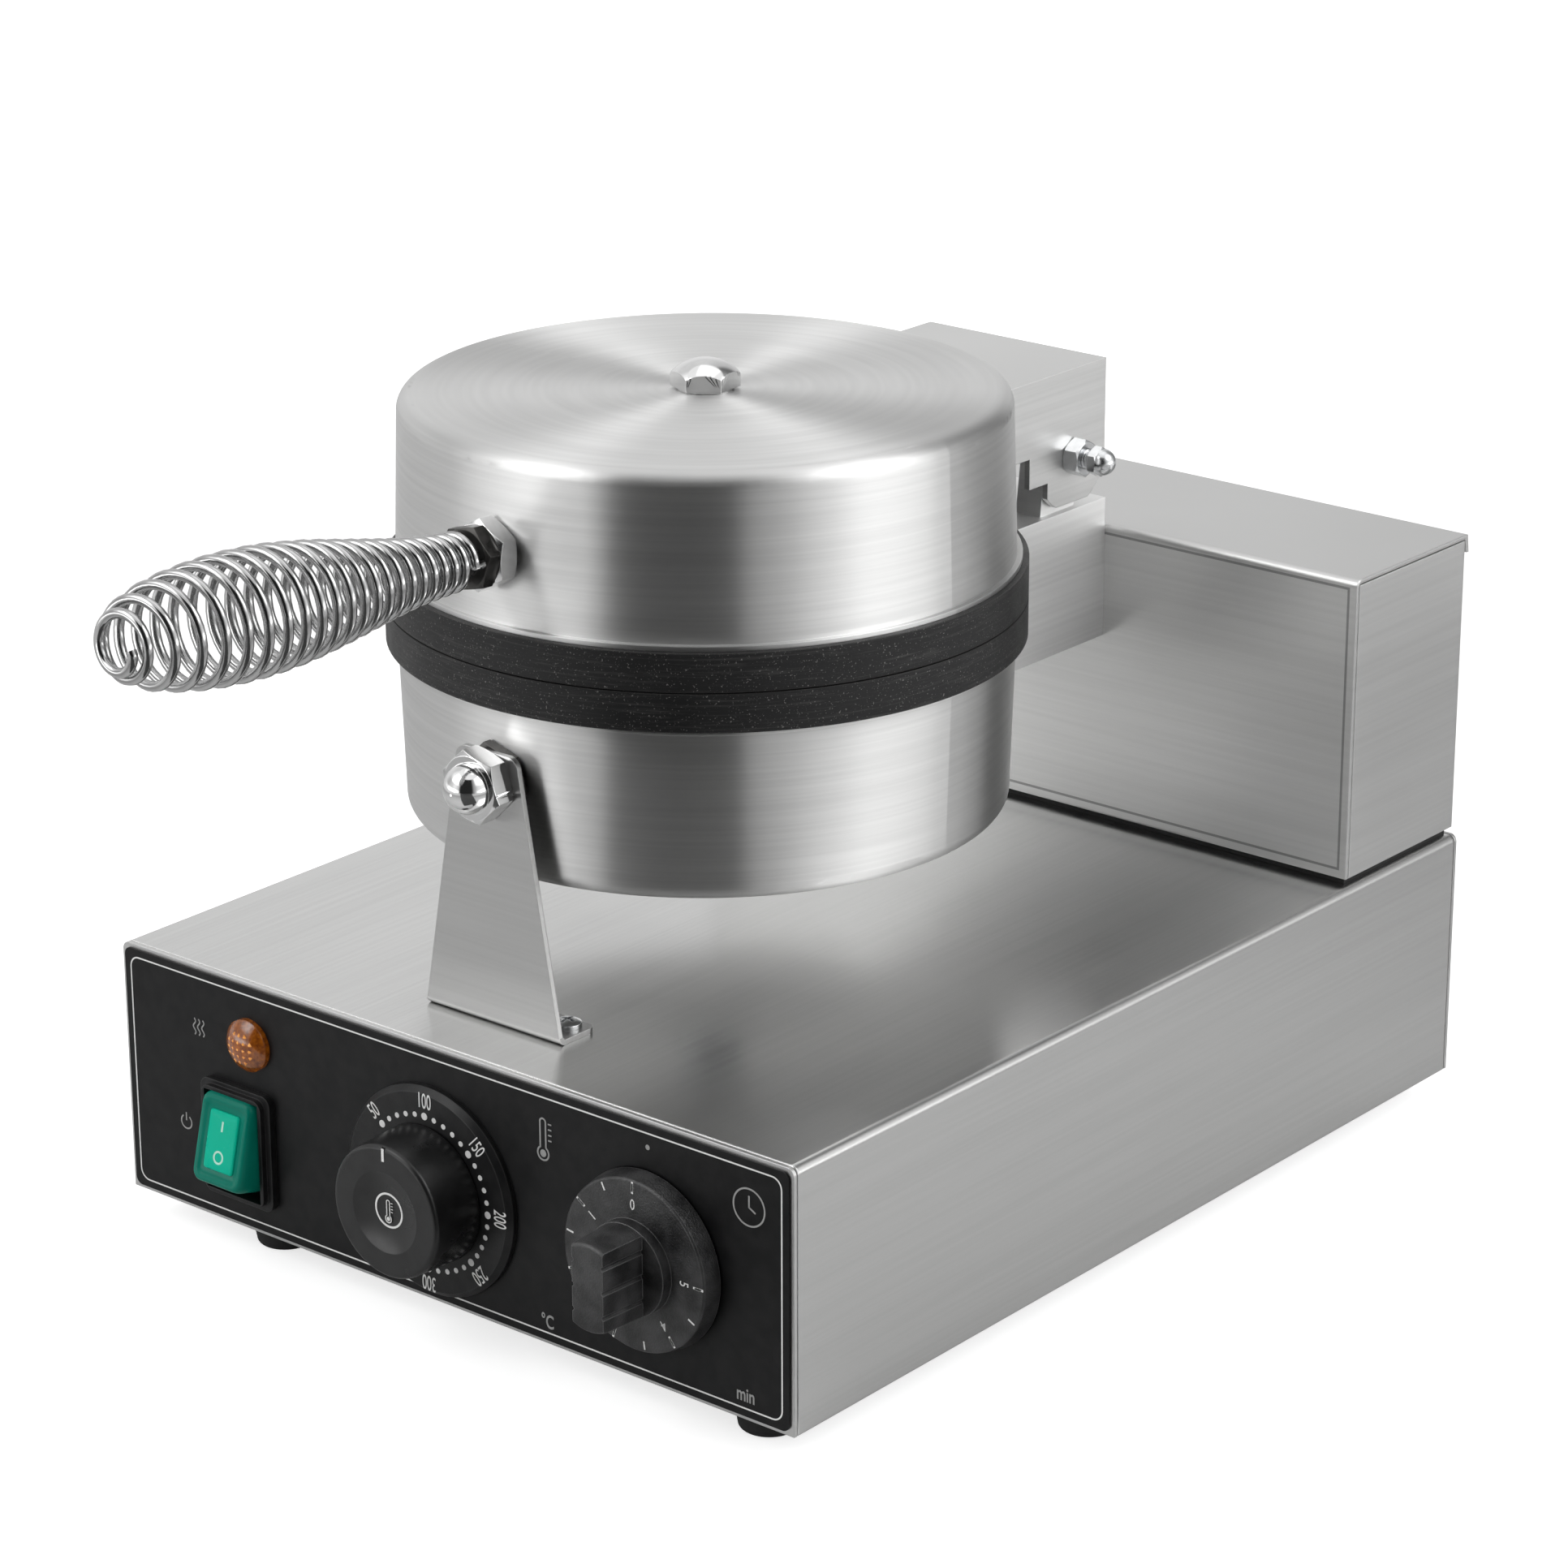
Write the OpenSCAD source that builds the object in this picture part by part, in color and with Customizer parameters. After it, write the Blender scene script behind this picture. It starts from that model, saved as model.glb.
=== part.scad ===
// Belgian waffle maker: a sheet steel base with its controls, a round pan on a rear
// hinge block, and a lid with a spring grip. Millimetres, +X right seen from the front,
// +Y to the rear, +Z up, origin on the floor under the middle of the whole machine.

/* [Base] */
// Width of the base over its side walls
base_w = 250; // [236:1:300]
// Depth of the base from front panel to rear panel
base_d = 316; // [300:1:380]
// Height of the base without its feet
base_h = 77; // [72:1:110]
// Thickness of the stainless sheet
sheet_t = 1.2; // [0.8:0.1:1.6]
// Outer radius of the bends in the base sheet
bend_r = 2.4; // [2:0.1:5]
// Gap that shows where two sheets meet
seam_gap = 0.4; // [0.2:0.1:0.8]
// Width of the inward flanges that the screws go into
flange_w = 16; // [13:0.5:22]
// Thickness of the black control fascia
fascia_t = 0.6; // [0.4:0.1:1.5]
// Steel border left showing round the fascia
fascia_border = 1.2; // [0.6:0.1:4]

/* [Feet] */
// Diameter of a rubber foot at its top
foot_d = 20; // [16:0.5:28]
// Height of a rubber foot
foot_h = 9; // [7:0.5:16]
// Distance of the left feet from the left side
foot_left_side = 47; // [28:1:60]
// Distance of the right feet from the right side
foot_right_side = 21; // [19:1:45]
// Distance of the front feet from the front panel
foot_front_y = 15; // [14:1:40]
// Distance of the rear feet from the rear panel
foot_rear_gap = 54; // [36:1:100]

/* [Rear housing] */
// Depth of the rear housing
housing_d = 58; // [48:1:75]
// Height of the rear housing above its gasket
housing_h = 92.3; // [80:0.1:98]
// Height of the gasket under the rear housing
gasket_h = 2; // [1:0.1:4]
// How far each side of the housing stands in from the base
housing_inset = 2; // [1:0.1:6]
// Height of the lip of the housing cover down its back
cover_lip = 5.5; // [4:0.5:12]

/* [Pans] */
// Distance from the front panel to the front of the cooking plates
pan_front = 22.8; // [19:0.1:30]
// Space between the cooking plates and the rear housing
hinge_room = 54.2; // [52:0.1:60]
// How far the cooking plates stand out over the pan shells
plate_step = 3.3; // [2.2:0.1:5]
// How much narrower each shell is at its closed end
pan_draft = 1.4; // [0.4:0.1:3]
// Height of the lower pan shell
lower_pan_h = 50; // [46:0.5:60]
// Height of the upper pan shell
upper_pan_h = 47.8; // [44:0.1:60]
// Radius of the rounded edge of each pan shell
pan_edge_r = 4.5; // [3:0.1:9]
// Space between the base and the lower pan
pan_clear = 41.7; // [32:0.1:56]
// Height of the rim of each cooking plate
rim_t = 11; // [8:0.5:16]
// Closed gap between the two cooking plates
lid_gap = 0.3; // [0.2:0.05:0.5]

/* [Waffle grid] */
// Width of the flat rim round the recess for the batter
rim_w = 9.5; // [8:0.5:14]
// Depth of the recess below the rim
recess_depth = 12; // [10:0.5:15]
// Thickness of the casting under the recess
floor_t = 5; // [3:0.5:9]
// Height of the grid studs
stud_h = 7.5; // [5:0.5:9]
// Distance from one stud to the next
stud_pitch = 15.4; // [13:0.1:18]
// Width of the flat top of a stud
stud_top = 7; // [5:0.1:9]
// How much wider a stud is at its foot, on each side
stud_draft = 1.3; // [0.5:0.1:2]
// Thickness of the ridges that divide the waffle in four
divider_t = 2.4; // [1.5:0.1:3]

/* [Hinge] */
// Width of the hinge blocks
block_w = 66; // [52:1:76]
// Height of the lower hinge block
block_h = 43.4; // [34:0.1:46]
// Wall of the hinge blocks
block_t = 2; // [1.5:0.1:3]
// Diameter of the hinge pin
pin_d = 6; // [5:0.5:8]
// Distance of the hinge pin from the front of the rear housing
pin_setback = 16.8; // [16.6:0.1:20]
// Height of the hinge pin above the lower hinge block
pin_rise = 16.6; // [16.5:0.1:20]
// Height of the top of the upper arm above the hinge pin
arm_rise = 26.7; // [24:0.1:32]
// Distance of the back of the upper arm from the hinge pin
arm_back = 15.8; // [14:0.1:16.2]

/* [Front bracket] */
// Gap between the bracket and the lower pan
bracket_gap = 3.8; // [3.2:0.1:6]
// Thickness of the bracket
bracket_t = 1.6; // [1.2:0.1:2.5]
// Width of the bracket at its foot
bracket_foot_w = 50; // [42:1:64]
// Width of the bracket at its top
bracket_top_w = 23; // [20:1:34]
// Height of the bracket above the base
bracket_h = 80; // [78:1:96]
// Depth of the foot of the bracket
bracket_foot_d = 15; // [13:0.5:22]
// Diameter of the bolt that carries the front of the lower pan
support_d = 12; // [10:0.5:14]
// Height of that bolt above the bottom of the lower pan
support_rise = 29.5; // [24:0.5:30]

/* [Handle] */
// Tilt of the handle above the level
handle_tilt = 3.5; // [0:0.5:12]
// Height of the handle on the upper shell
handle_rise = 21; // [18:0.5:24]
// Diameter of the threaded handle stud
stud_d = 10; // [8:0.5:10.4]
// Diameter of the spring wire
wire_d = 2.8; // [2:0.1:3]
// Number of curls of the spring grip
spring_turns = 22; // [18:1:24]
// Length of the spring grip
spring_len = 124.6; // [114:0.1:150]
// Outer diameter of the grip at its start
grip_start_d = 16.4; // [16.2:0.1:20]
// Outer diameter of the grip at its widest
grip_wide_d = 34.2; // [28:0.1:44]
// Outer diameter of the last curl
grip_end_d = 13; // [9:0.5:16]

/* [Controls] */
// Place of the thermostat from the middle
temp_x = -3; // [-8:0.5:6]
// Height of the thermostat above the bottom of the base
temp_z = 34.3; // [33.5:0.1:42]
// Outer radius of the temperature dial
dial_r = 31; // [26:0.5:32.5]
// Thickness of the temperature dial
dial_t = 3; // [2:0.1:4]
// Radius of the temperature knob
temp_knob_r = 20.2; // [17:0.1:21]
// Front of the temperature knob from the fascia
temp_knob_h = 19.6; // [16:0.1:24]
// Distance of the timer from the right side
timer_side = 49.4; // [42:0.1:56]
// Height of the timer above the bottom of the base
timer_z = 37.4; // [32:0.1:44]
// Radius of the skirt of the timer knob
skirt_r = 25.6; // [22:0.1:30]
// Height of the skirt of the timer knob
skirt_h = 6.4; // [4:0.1:9]
// Radius of the boss of the timer knob
boss_r = 13.4; // [12.8:0.1:17]
// Height of the timer knob from the fascia
timer_knob_h = 24.6; // [20:0.1:30]
// Width of the grip bar of the timer knob
bar_w = 10.8; // [9:0.1:14]
// Length of the grip bar of the timer knob
bar_l = 25.4; // [22:0.1:25.6]
// Distance of the power switch from the left side
switch_side = 46.5; // [36:0.5:58]
// Height of the power switch above the bottom of the base
switch_z = 27; // [24:0.5:30]
// Width of the frame of the power switch
bezel_w = 27.6; // [26.6:0.1:34]
// Height of the frame of the power switch
bezel_h = 35.6; // [34.8:0.1:38]
// Width of the soft cover of the rocker
boot_w = 20.6; // [18:0.1:21]
// Height of the soft cover of the rocker
boot_h = 25.6; // [22:0.1:26]
// Angle at which the rocker rests, bottom edge out
rocker_tilt = 14; // [6:0.5:14]
// Distance of the heating lamp from the left side
lamp_side = 51.5; // [44:0.5:64]
// Height of the heating lamp above the bottom of the base
lamp_z = 58.6; // [57.5:0.1:62]
// Diameter of the lamp lens
lamp_d = 15.6; // [12:0.1:18]

/* [Cable gland] */
// Distance of the cable gland from the left side, seen from the front
gland_side = 55; // [32:1:180]
// Height of the cable gland above the bottom of the base
gland_z = 24; // [18:1:50]
// Bore of the cable gland
gland_bore = 8; // [6:0.1:10]
// Length of the cable gland outside the rear panel
gland_out = 16; // [14:0.5:24]

/* [Hidden] */
$fn = 96;

// Colours
steel = "silver";
bright = "gainsboro";
cast_black = "dimgray";
black = "black";

// Clearances between pieces that are put together
fit = 0.2;
run_fit = 0.05;
side_fit = 0.4;
touch = 0.1;
over = 1;

// The cooking plates fill the deck, and these are the heights of the main levels
plate_r = (base_d - housing_d - pan_front - hinge_room) / 2;
pan_r = plate_r - plate_step;
pan_y = pan_front + plate_r;
recess_r = plate_r - rim_w;
deck_z = foot_h + base_h;
pan_bottom_z = deck_z + pan_clear;
rim_z = pan_bottom_z + lower_pan_h;
parting_z = rim_z + rim_t;
lid_rim_z = parting_z + lid_gap;
upper_shell_z = lid_rim_z + rim_t;
housing_y = base_d - housing_d;
housing_z = deck_z + gasket_h;
housing_top_z = housing_z + housing_h;
housing_w = base_w - 2 * housing_inset;
plate_back_z = parting_z - recess_depth - floor_t;

// Screws and nuts
screw_d = 4;
screw_head_d = 8;
screw_head_h = 2.4;
screw_slot = 1.1;
small_nut_af = 7;
small_nut_h = 3.2;
nut_chamfer_share = 0.12;
nut_face_share = 0.49;
flange_screw_y = 9;
screw_grip = 9;

// Vents
slot_l = 26;
slot_w = 4;
vent_step_share = 0.03;
slot_step = vent_step_share * base_d;
slot_count = 8;
plate_vent_y_shares = [0.35, 0.6];
rear_vent_z_share = 0.62;

// Feet
foot_bottom_share = 0.86;
foot_round = 1.6;
foot_recess_d = 10;
foot_recess_h = 4.2;
foot_left_x = base_w / 2 - foot_left_side;
foot_right_x = base_w / 2 - foot_right_side;
foot_rear_y = base_d - foot_rear_gap;
foot_spots = [[-foot_left_x, foot_front_y], [foot_right_x, foot_front_y],
    [-foot_left_x, foot_rear_y], [foot_right_x, foot_rear_y]];
plate_screw_x = min(foot_left_x, foot_right_x) - foot_d / 2 - screw_head_d;

// Rear housing
gasket_w = 8;
gasket_inset = 1.6;
wire_hole_d = 26;
housing_screw_x_shares = [-0.42, 0.42];
lip_play = 0.3;
lip_flare = 0.8;

// Pans, from the shell inwards
shell_t = 1.2;
cover_step = 6;
element_edge = 11;
stud_in = 11;
flare_r = 1.5;
flare_h = 1.3;
core_play = 1.2;
core_r = pan_r - pan_draft - shell_t - core_play;
weld_gap = 0.2;
wire_hole_z = 14;
element_d = 7.5;
element_arc = 316;
element_leg = 14;
boss_d = 26;
cover_t = 2;
wool_r = core_r - stud_in - side_fit;
cover_r = wool_r - cover_step;
element_r = cover_r - element_edge;
wool_gap = 0.3;
bolt_d = 10;
bolt_af = 17;
bolt_head_h = 8.4;
bolt_dome_h = 4.4;
bolt_seat_d = 16.4;
bolt_seat_h = 0.6;
wool_bore_d = 30;
grid_margin = 3;

// Hinge
pin_y = housing_y - pin_setback;
pin_z = parting_z + pin_rise;
lug_t = 9;
lug_r = 10.5;
lug_front = 12.5;
lug_rear = 4;
arm_front_relief = 21.2;
arm_relief_rise = 3.5;
arm_notch_drop = 5.8;
tongue_front = 12.2;
tongue_drop = 14.3;
swing_gap = 0.4;
arm_back_rise = 6.5;
hinge_nut_af = 10;
hinge_nut_h = 5.2;
cap_gap = 2.6;
cap_af = 8;
cap_hex_h = 3;
sleeve_d = 10;

// Front bracket
bracket_round = 4;
bracket_bend = 2.2;
bracket_foot_round = 3;
bracket_screw_x_share = 0.38;
bracket_screw_y = 9.6;
support_nut_af = 18.4;
dome_hex_h = 7;
dome_r = 7.2;
inner_nut_h = 6;
support_z = pan_bottom_z + support_rise;
nut_seat = 1;
lock_seat = 0.4;

// Outer radius of a pan shell at a height above its closed end
function shell_r(up, h) = pan_r - pan_draft * (h - up) / (h - pan_edge_r);
support_face_y = pan_y - shell_r(support_rise, lower_pan_h);
handle_face_y = pan_y - shell_r(upper_pan_h - handle_rise, upper_pan_h);
bracket_y = support_face_y - bracket_gap - bracket_t;

// Handle
handle_z = upper_shell_z + handle_rise;
handle_nut_af = 17.6;
handle_nut_s = 0.9;
handle_nut_h = 6.4;
handle_nut_turn = 30;
inner_nut_gap = 1.5;
lock_nut_af = 16.4;
lock_nut_h = 4.9;
lock_nut_turn = 13;
stud_out = 32;
spring_start_s = handle_nut_s + handle_nut_h + lock_nut_h;
rings_per_turn = 8;
tube_sides = 6;
pitch_spread = 0.34;
wide_share = 0.66;

// Controls
timer_x = base_w / 2 - timer_side;
switch_x = switch_side - base_w / 2;
lamp_x = lamp_side - base_w / 2;
bush_d = 10;
shaft_d = 6;
shaft_in = 9;
dial_hole_d = 16;
dial_bevel = 1.6;
knob_gap = 0.4;
knob_round = 1.4;
knob_taper = 0.7;
dish_r = 12;
dish_depth = 2.2;
index_w = 1.4;
index_l = 4;
thermostat_w = 34;
thermostat_h = 44;
thermostat_d = 24;
timer_can_d = 46;
timer_can_h = 40;
timer_skirt_gap = 0.8;
skirt_taper = 0.8;
boss_h = 3.4;
bar_taper = 1;
bar_round = 0.9;
groove_r = 0.7;
groove_shares = [-0.28, 0, 0.28];
bezel_t = 2.2;
bezel_round = 3;
switch_window_w = boot_w + 2 * side_fit;
switch_window_h = boot_h + 5;
switch_wall = 1.2;
collar_h = 4;
switch_depth = 25;
boot_front = 8.7;
boot_round = 3;
boot_t = 1.3;
boot_back = 4;
rocker_play = 1.4;
rocker_front_gap = 0.3;
rocker_back = 6;
rocker_pivot = 3;
trunnion_d = 2.4;
lamp_rim_t = 1.6;
lamp_dome_h = 3.6;
lamp_neck_d = 11;
lamp_body_d = 13;
lamp_body_l = 24;

// Cable gland and terminal block
gland_x = gland_side - base_w / 2;
gland_thread_d = 16;
gland_hex_af = 20;
gland_hex_h = 5;
gland_in = 9;
gland_nut_h = 4.5;
block_l = 44;
block_depth = 18;
block_gap = 6;
block_height = 16;
block_lobe_d = 7;
block_poles = 4;

// Grip spring, worked out along its own axis from the face of the lock nut
function along(u) = wire_d + (spring_len - wire_d)
    * ((1 - pitch_spread) * u + pitch_spread * u * u);
function grip_r(u) =
    let (start_r = (grip_start_d - wire_d) / 2, wide_r = (grip_wide_d - wire_d) / 2,
        end_r = (grip_end_d - wire_d) / 2, t = along(u) / spring_len)
    t < wide_share
        ? start_r + (wide_r - start_r) * (1 - cos(180 * t / wide_share)) / 2
        : end_r + (wide_r - end_r)
            * sqrt(max(0, 1 - pow((t - wide_share) / (1 - wide_share), 2)));
coil_rings = spring_turns * rings_per_turn;
function coil_point(i) =
    let (a = 360 * i / rings_per_turn, r = grip_r(i / coil_rings))
    [r * cos(a), r * sin(a), along(i / coil_rings)];
spring_path = concat([[grip_r(0), 0, touch]], [for (i = [0:coil_rings]) coil_point(i)]);
last_ring = len(spring_path) - 1;
function unit(v) = v / norm(v);
function heading(i) =
    unit(i == 0 ? spring_path[1] - spring_path[0]
        : i == last_ring ? spring_path[i] - spring_path[i - 1]
        : unit(spring_path[i] - spring_path[i - 1]) + unit(spring_path[i + 1] - spring_path[i]));
function outward(i) = unit([spring_path[i][0], spring_path[i][1], 0]);
function ring_at(i) =
    let (t = heading(i), b = unit(cross(t, outward(i))), n = cross(b, t))
    [for (k = [0:tube_sides - 1])
        let (a = 360 * k / tube_sides)
        spring_path[i] + wire_d / 2 * (cos(a) * n + sin(a) * b)];
spring_points = [for (i = [0:last_ring]) each ring_at(i)];
spring_sides = [for (i = [0:last_ring - 1], k = [0:tube_sides - 1])
    let (a = i * tube_sides + k, b = i * tube_sides + (k + 1) % tube_sides)
    each [[a, b, a + tube_sides], [b, b + tube_sides, a + tube_sides]]];
spring_caps = [for (k = [1:tube_sides - 2]) each
    [[0, k + 1, k], [0, k, k + 1] + last_ring * tube_sides * [1, 1, 1]]];
spring_gap = min([for (i = [1:last_ring - 5], j = [i + 5:min(last_ring, i + 12)])
    norm(spring_path[i] - spring_path[j])]) - wire_d;
echo("Least gap between curls of the grip spring", spring_gap);

// The handle axis leans back by handle_tilt; its reach sets the middle of the machine
function forward(p) = p[1] * sin(handle_tilt)
    - (p[2] + spring_start_s) * cos(handle_tilt);
front_reach = handle_face_y + min([for (p = spring_points) forward(p)]);
rear_reach = base_d + gland_out;
front_y = -(front_reach + rear_reach) / 2;
echo("Front panel stands at", front_y, "spring reaches", front_reach);

module machine() {
    translate([0, front_y, 0]) children();
}

// Puts a shape drawn in x and z through a length of y, front face at y
module slab_y(y, length) {
    translate([0, y + length, 0]) rotate([90, 0, 0]) linear_extrude(length) children();
}

// Puts a shape drawn in y and z through a length of x, centred
module slab_x(length) {
    translate([-length / 2, 0, 0]) rotate([90, 0, 90]) linear_extrude(length) children();
}

module rounded_rect(w, h, r) {
    square([w - 2 * r, h], center = true);
    square([w, h - 2 * r], center = true);
    for (x = [-1, 1], y = [-1, 1])
        translate([x * (w / 2 - r), y * (h / 2 - r)]) circle(r);
}

// A rectangle that stands on the axis, with its two upper corners rounded
module arched_rect(w, h, r) {
    translate([-w / 2, 0]) square([w, h - r]);
    translate([-w / 2 + r, 0]) square([w - 2 * r, h]);
    for (x = [-1, 1]) translate([x * (w / 2 - r), h - r]) circle(r);
}

// The outline of a block whose upper front corner is rounded
module quarter_block(l, h, r) {
    square([l, h - r]);
    translate([r, 0]) square([l - r, h]);
    translate([r, h - r]) circle(r);
}

// A sheet that runs up and then bends over to the rear
module bent_corner(l, h, r, t) {
    difference() {
        quarter_block(l, h, r);
        translate([t, -over]) quarter_block(l - t + over, h - t + over, r - t);
    }
}

module slot(l, w) {
    square([l - w, w], center = true);
    for (x = [-1, 1]) translate([x * (l - w) / 2, 0]) circle(d = w);
}

module hex_prism(af, h) {
    chamfer = nut_chamfer_share * h;
    corner_r = af / 2 / cos(30);
    intersection() {
        cylinder(r = corner_r, h = h, $fn = 6);
        rotate_extrude() polygon([[0, 0], [nut_face_share * af, 0], [corner_r, chamfer],
            [corner_r, h - chamfer], [nut_face_share * af, h], [0, h]]);
    }
}

module hex_nut(af, h, bore) {
    difference() {
        hex_prism(af, h);
        translate([0, 0, -over]) cylinder(d = bore, h = h + 2 * over);
    }
}

// A pan head screw, head up from z = 0 and shank down
module pan_screw(shank) {
    difference() {
        union() {
            intersection() {
                cylinder(d = screw_head_d, h = screw_head_h);
                translate([0, 0, screw_head_h - screw_head_d])
                    sphere(r = screw_head_d);
            }
            translate([0, 0, -shank]) cylinder(d = screw_d, h = shank + touch);
        }
        for (a = [0, 90]) rotate(a)
            translate([-screw_head_d * 0.3, -screw_slot / 2, screw_head_h - screw_slot])
                cube([screw_head_d * 0.6, screw_slot, screw_slot + over]);
    }
}

// Base

module base_shell() {
    wall_z = foot_h;
    length = base_d - 2 * (sheet_t + seam_gap);
    color(steel) machine() difference() {
        slab_y(sheet_t + seam_gap, length) translate([0, wall_z]) {
            difference() {
                arched_rect(base_w, base_h, bend_r);
                translate([0, -over])
                    arched_rect(base_w - 2 * sheet_t, base_h - sheet_t + over,
                        bend_r - sheet_t);
            }
            for (x = [-1, 1])
                translate([x * (base_w - flange_w) / 2, sheet_t * 1.5 + touch])
                    square([flange_w - touch, sheet_t], center = true);
        }
        translate([0, housing_y + housing_d / 2, deck_z - sheet_t - over])
            cylinder(d = wire_hole_d, h = sheet_t + 2 * over);
        bracket_screw_spots() translate([0, 0, -bracket_t - sheet_t - over])
            cylinder(d = screw_d + fit, h = bracket_t + sheet_t + 2 * over);
        for (s = foot_spots) translate([s[0], s[1], foot_h + touch])
            cylinder(d = small_nut_af * 2, h = 3 * sheet_t);
    }
}

module panel_holes(grow) {
    translate([temp_x, temp_z]) circle(d = bush_d + fit + grow);
    translate([timer_x, timer_z]) circle(d = bush_d + fit + grow);
    translate([lamp_x, lamp_z]) circle(d = lamp_neck_d + fit + grow);
    translate([switch_x, switch_z])
        square([switch_window_w + 2 * switch_wall + fit + grow,
            switch_window_h + 2 * switch_wall + fit + grow], center = true);
}

module end_panel_blank() {
    difference() {
        arched_rect(base_w, base_h, bend_r);
        children();
    }
}

// The inward flanges at the bottom of a front or rear panel, from y = 0 to the rear
module panel_flange() {
    inner_w = base_w - 2 * (flange_w + fit);
    difference() {
        translate([-inner_w / 2, sheet_t - touch, sheet_t + touch])
            cube([inner_w, flange_w, sheet_t]);
        for (x = [-1, 1])
            translate([x * plate_screw_x, flange_screw_y, 0])
                cylinder(d = screw_d + fit, h = 4 * sheet_t);
        for (s = foot_spots) translate([s[0], s[1], 0])
            cylinder(d = small_nut_af * 2, h = 4 * sheet_t);
    }
}

module front_panel() {
    color(steel) machine() translate([0, 0, foot_h]) {
        slab_y(0, sheet_t) end_panel_blank() panel_holes(0);
        panel_flange();
    }
}

module control_fascia() {
    color(black) machine() translate([0, -fascia_t, foot_h])
        slab_y(0, fascia_t) difference() {
            translate([0, base_h / 2])
                rounded_rect(base_w - 2 * fascia_border, base_h - 2 * fascia_border, bend_r);
            panel_holes(0);
        }
}

module rear_panel() {
    color(steel) machine() translate([0, 0, foot_h]) {
        slab_y(base_d - sheet_t, sheet_t) end_panel_blank() {
            translate([gland_x, gland_z]) circle(d = gland_thread_d + fit);
            for (i = [0:slot_count - 1], x = [-1, 1])
                translate([x * base_w / 6 + (i - (slot_count - 1) / 2) * slot_step / 2 * x,
                    base_h * rear_vent_z_share]) rotate(90) slot(slot_l / 2, slot_w / 2);
        }
        translate([0, base_d, 0]) mirror([0, 1, 0]) panel_flange();
    }
}

module base_plate() {
    w = base_w - 2 * (sheet_t + fit);
    d = base_d - 2 * (sheet_t + fit);
    color(steel) machine() translate([0, base_d / 2, foot_h]) linear_extrude(sheet_t)
        difference() {
            rounded_rect(w, d, bend_r);
            for (s = plate_vent_y_shares, i = [0:slot_count - 1])
                translate([0, (s - 0.5) * base_d + (i - slot_count / 2) * slot_step])
                    slot(slot_l * 2, slot_w);
            for (s = foot_spots) translate([s[0], s[1] - base_d / 2])
                circle(d = screw_d + fit);
            for (x = [-1, 1], y = [-1, 1])
                translate([x * plate_screw_x, y * (base_d / 2 - flange_screw_y)])
                    circle(d = screw_d + fit);
        }
}

module base_plate_screws() {
    color(bright) machine()
        for (x = [-1, 1], y = [flange_screw_y, base_d - flange_screw_y])
            translate([x * plate_screw_x, y, foot_h])
                mirror([0, 0, 1]) pan_screw(screw_grip);
}

module rubber_feet() {
    bottom_r = foot_d / 2 * foot_bottom_share;
    color(black) machine() for (s = foot_spots) translate([s[0], s[1], 0])
        rotate_extrude() difference() {
            union() {
                polygon([[0, foot_round], [bottom_r, foot_round], [foot_d / 2, foot_h],
                    [0, foot_h]]);
                square([bottom_r - foot_round, foot_h]);
                translate([bottom_r - foot_round, foot_round]) circle(foot_round);
            }
            translate([-foot_d, -over]) square([foot_d, foot_h + 2 * over]);
            translate([0, -over]) square([foot_recess_d / 2, foot_recess_h + over]);
            square([(screw_d + fit) / 2, foot_h + over]);
        }
}

module foot_screws() {
    shank = foot_h - foot_recess_h + sheet_t + small_nut_h + touch;
    color(bright) machine() for (s = foot_spots) translate([s[0], s[1], foot_recess_h])
        mirror([0, 0, 1]) pan_screw(shank);
}

module foot_nuts() {
    color(bright) machine() for (s = foot_spots)
        translate([s[0], s[1], foot_h + sheet_t])
            hex_nut(small_nut_af, small_nut_h, screw_d + 2 * run_fit);
}

// Rear housing

module housing_cover() {
    rear = housing_d + lip_play;
    lip_z = housing_h - cover_lip;
    color(steel) machine() translate([0, housing_y, housing_z]) {
        slab_x(housing_w) bent_corner(rear, housing_h, bend_r, sheet_t);
        slab_x(housing_w)
            polygon([[rear - sheet_t, housing_h], [rear + sheet_t, housing_h],
                [rear + sheet_t + lip_flare, lip_z], [rear + lip_flare, lip_z],
                [rear, housing_h - sheet_t], [rear - sheet_t, housing_h - sheet_t]]);
    }
}

module housing_body() {
    side_y = housing_y + sheet_t + seam_gap;
    side_d = housing_d - sheet_t - seam_gap;
    side_h = housing_h - sheet_t - seam_gap;
    color(steel) machine() difference() {
        translate([-housing_w / 2, side_y, housing_z]) cube([housing_w, side_d, side_h]);
        translate([-housing_w / 2 + sheet_t, side_y - over, housing_z + sheet_t])
            cube([housing_w - 2 * sheet_t, side_d - sheet_t + over, side_h]);
        translate([0, housing_y + housing_d / 2, housing_z - over])
            cylinder(d = wire_hole_d, h = sheet_t + 2 * over);
        housing_screw_spots() translate([0, 0, -screw_grip])
            cylinder(d = screw_d + fit, h = 2 * screw_grip);
    }
}

// Rear screws of the housing, screw axis along +Y from the rear wall
module housing_screw_spots() {
    for (s = housing_screw_x_shares, z = [cover_lip + screw_head_d, housing_h - screw_head_d])
        translate([s * housing_w, base_d, housing_top_z - z]) rotate([-90, 0, 0])
            children();
}

module housing_screws() {
    color(bright) machine() housing_screw_spots() pan_screw(screw_grip);
}

module housing_gasket() {
    w = housing_w - 2 * gasket_inset;
    d = housing_d - 2 * gasket_inset;
    color(black) machine() translate([0, housing_y + housing_d / 2, deck_z])
        linear_extrude(gasket_h) difference() {
            square([w, d], center = true);
            square([w - 2 * gasket_w, d - 2 * gasket_w], center = true);
        }
}

// Front bracket

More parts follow.
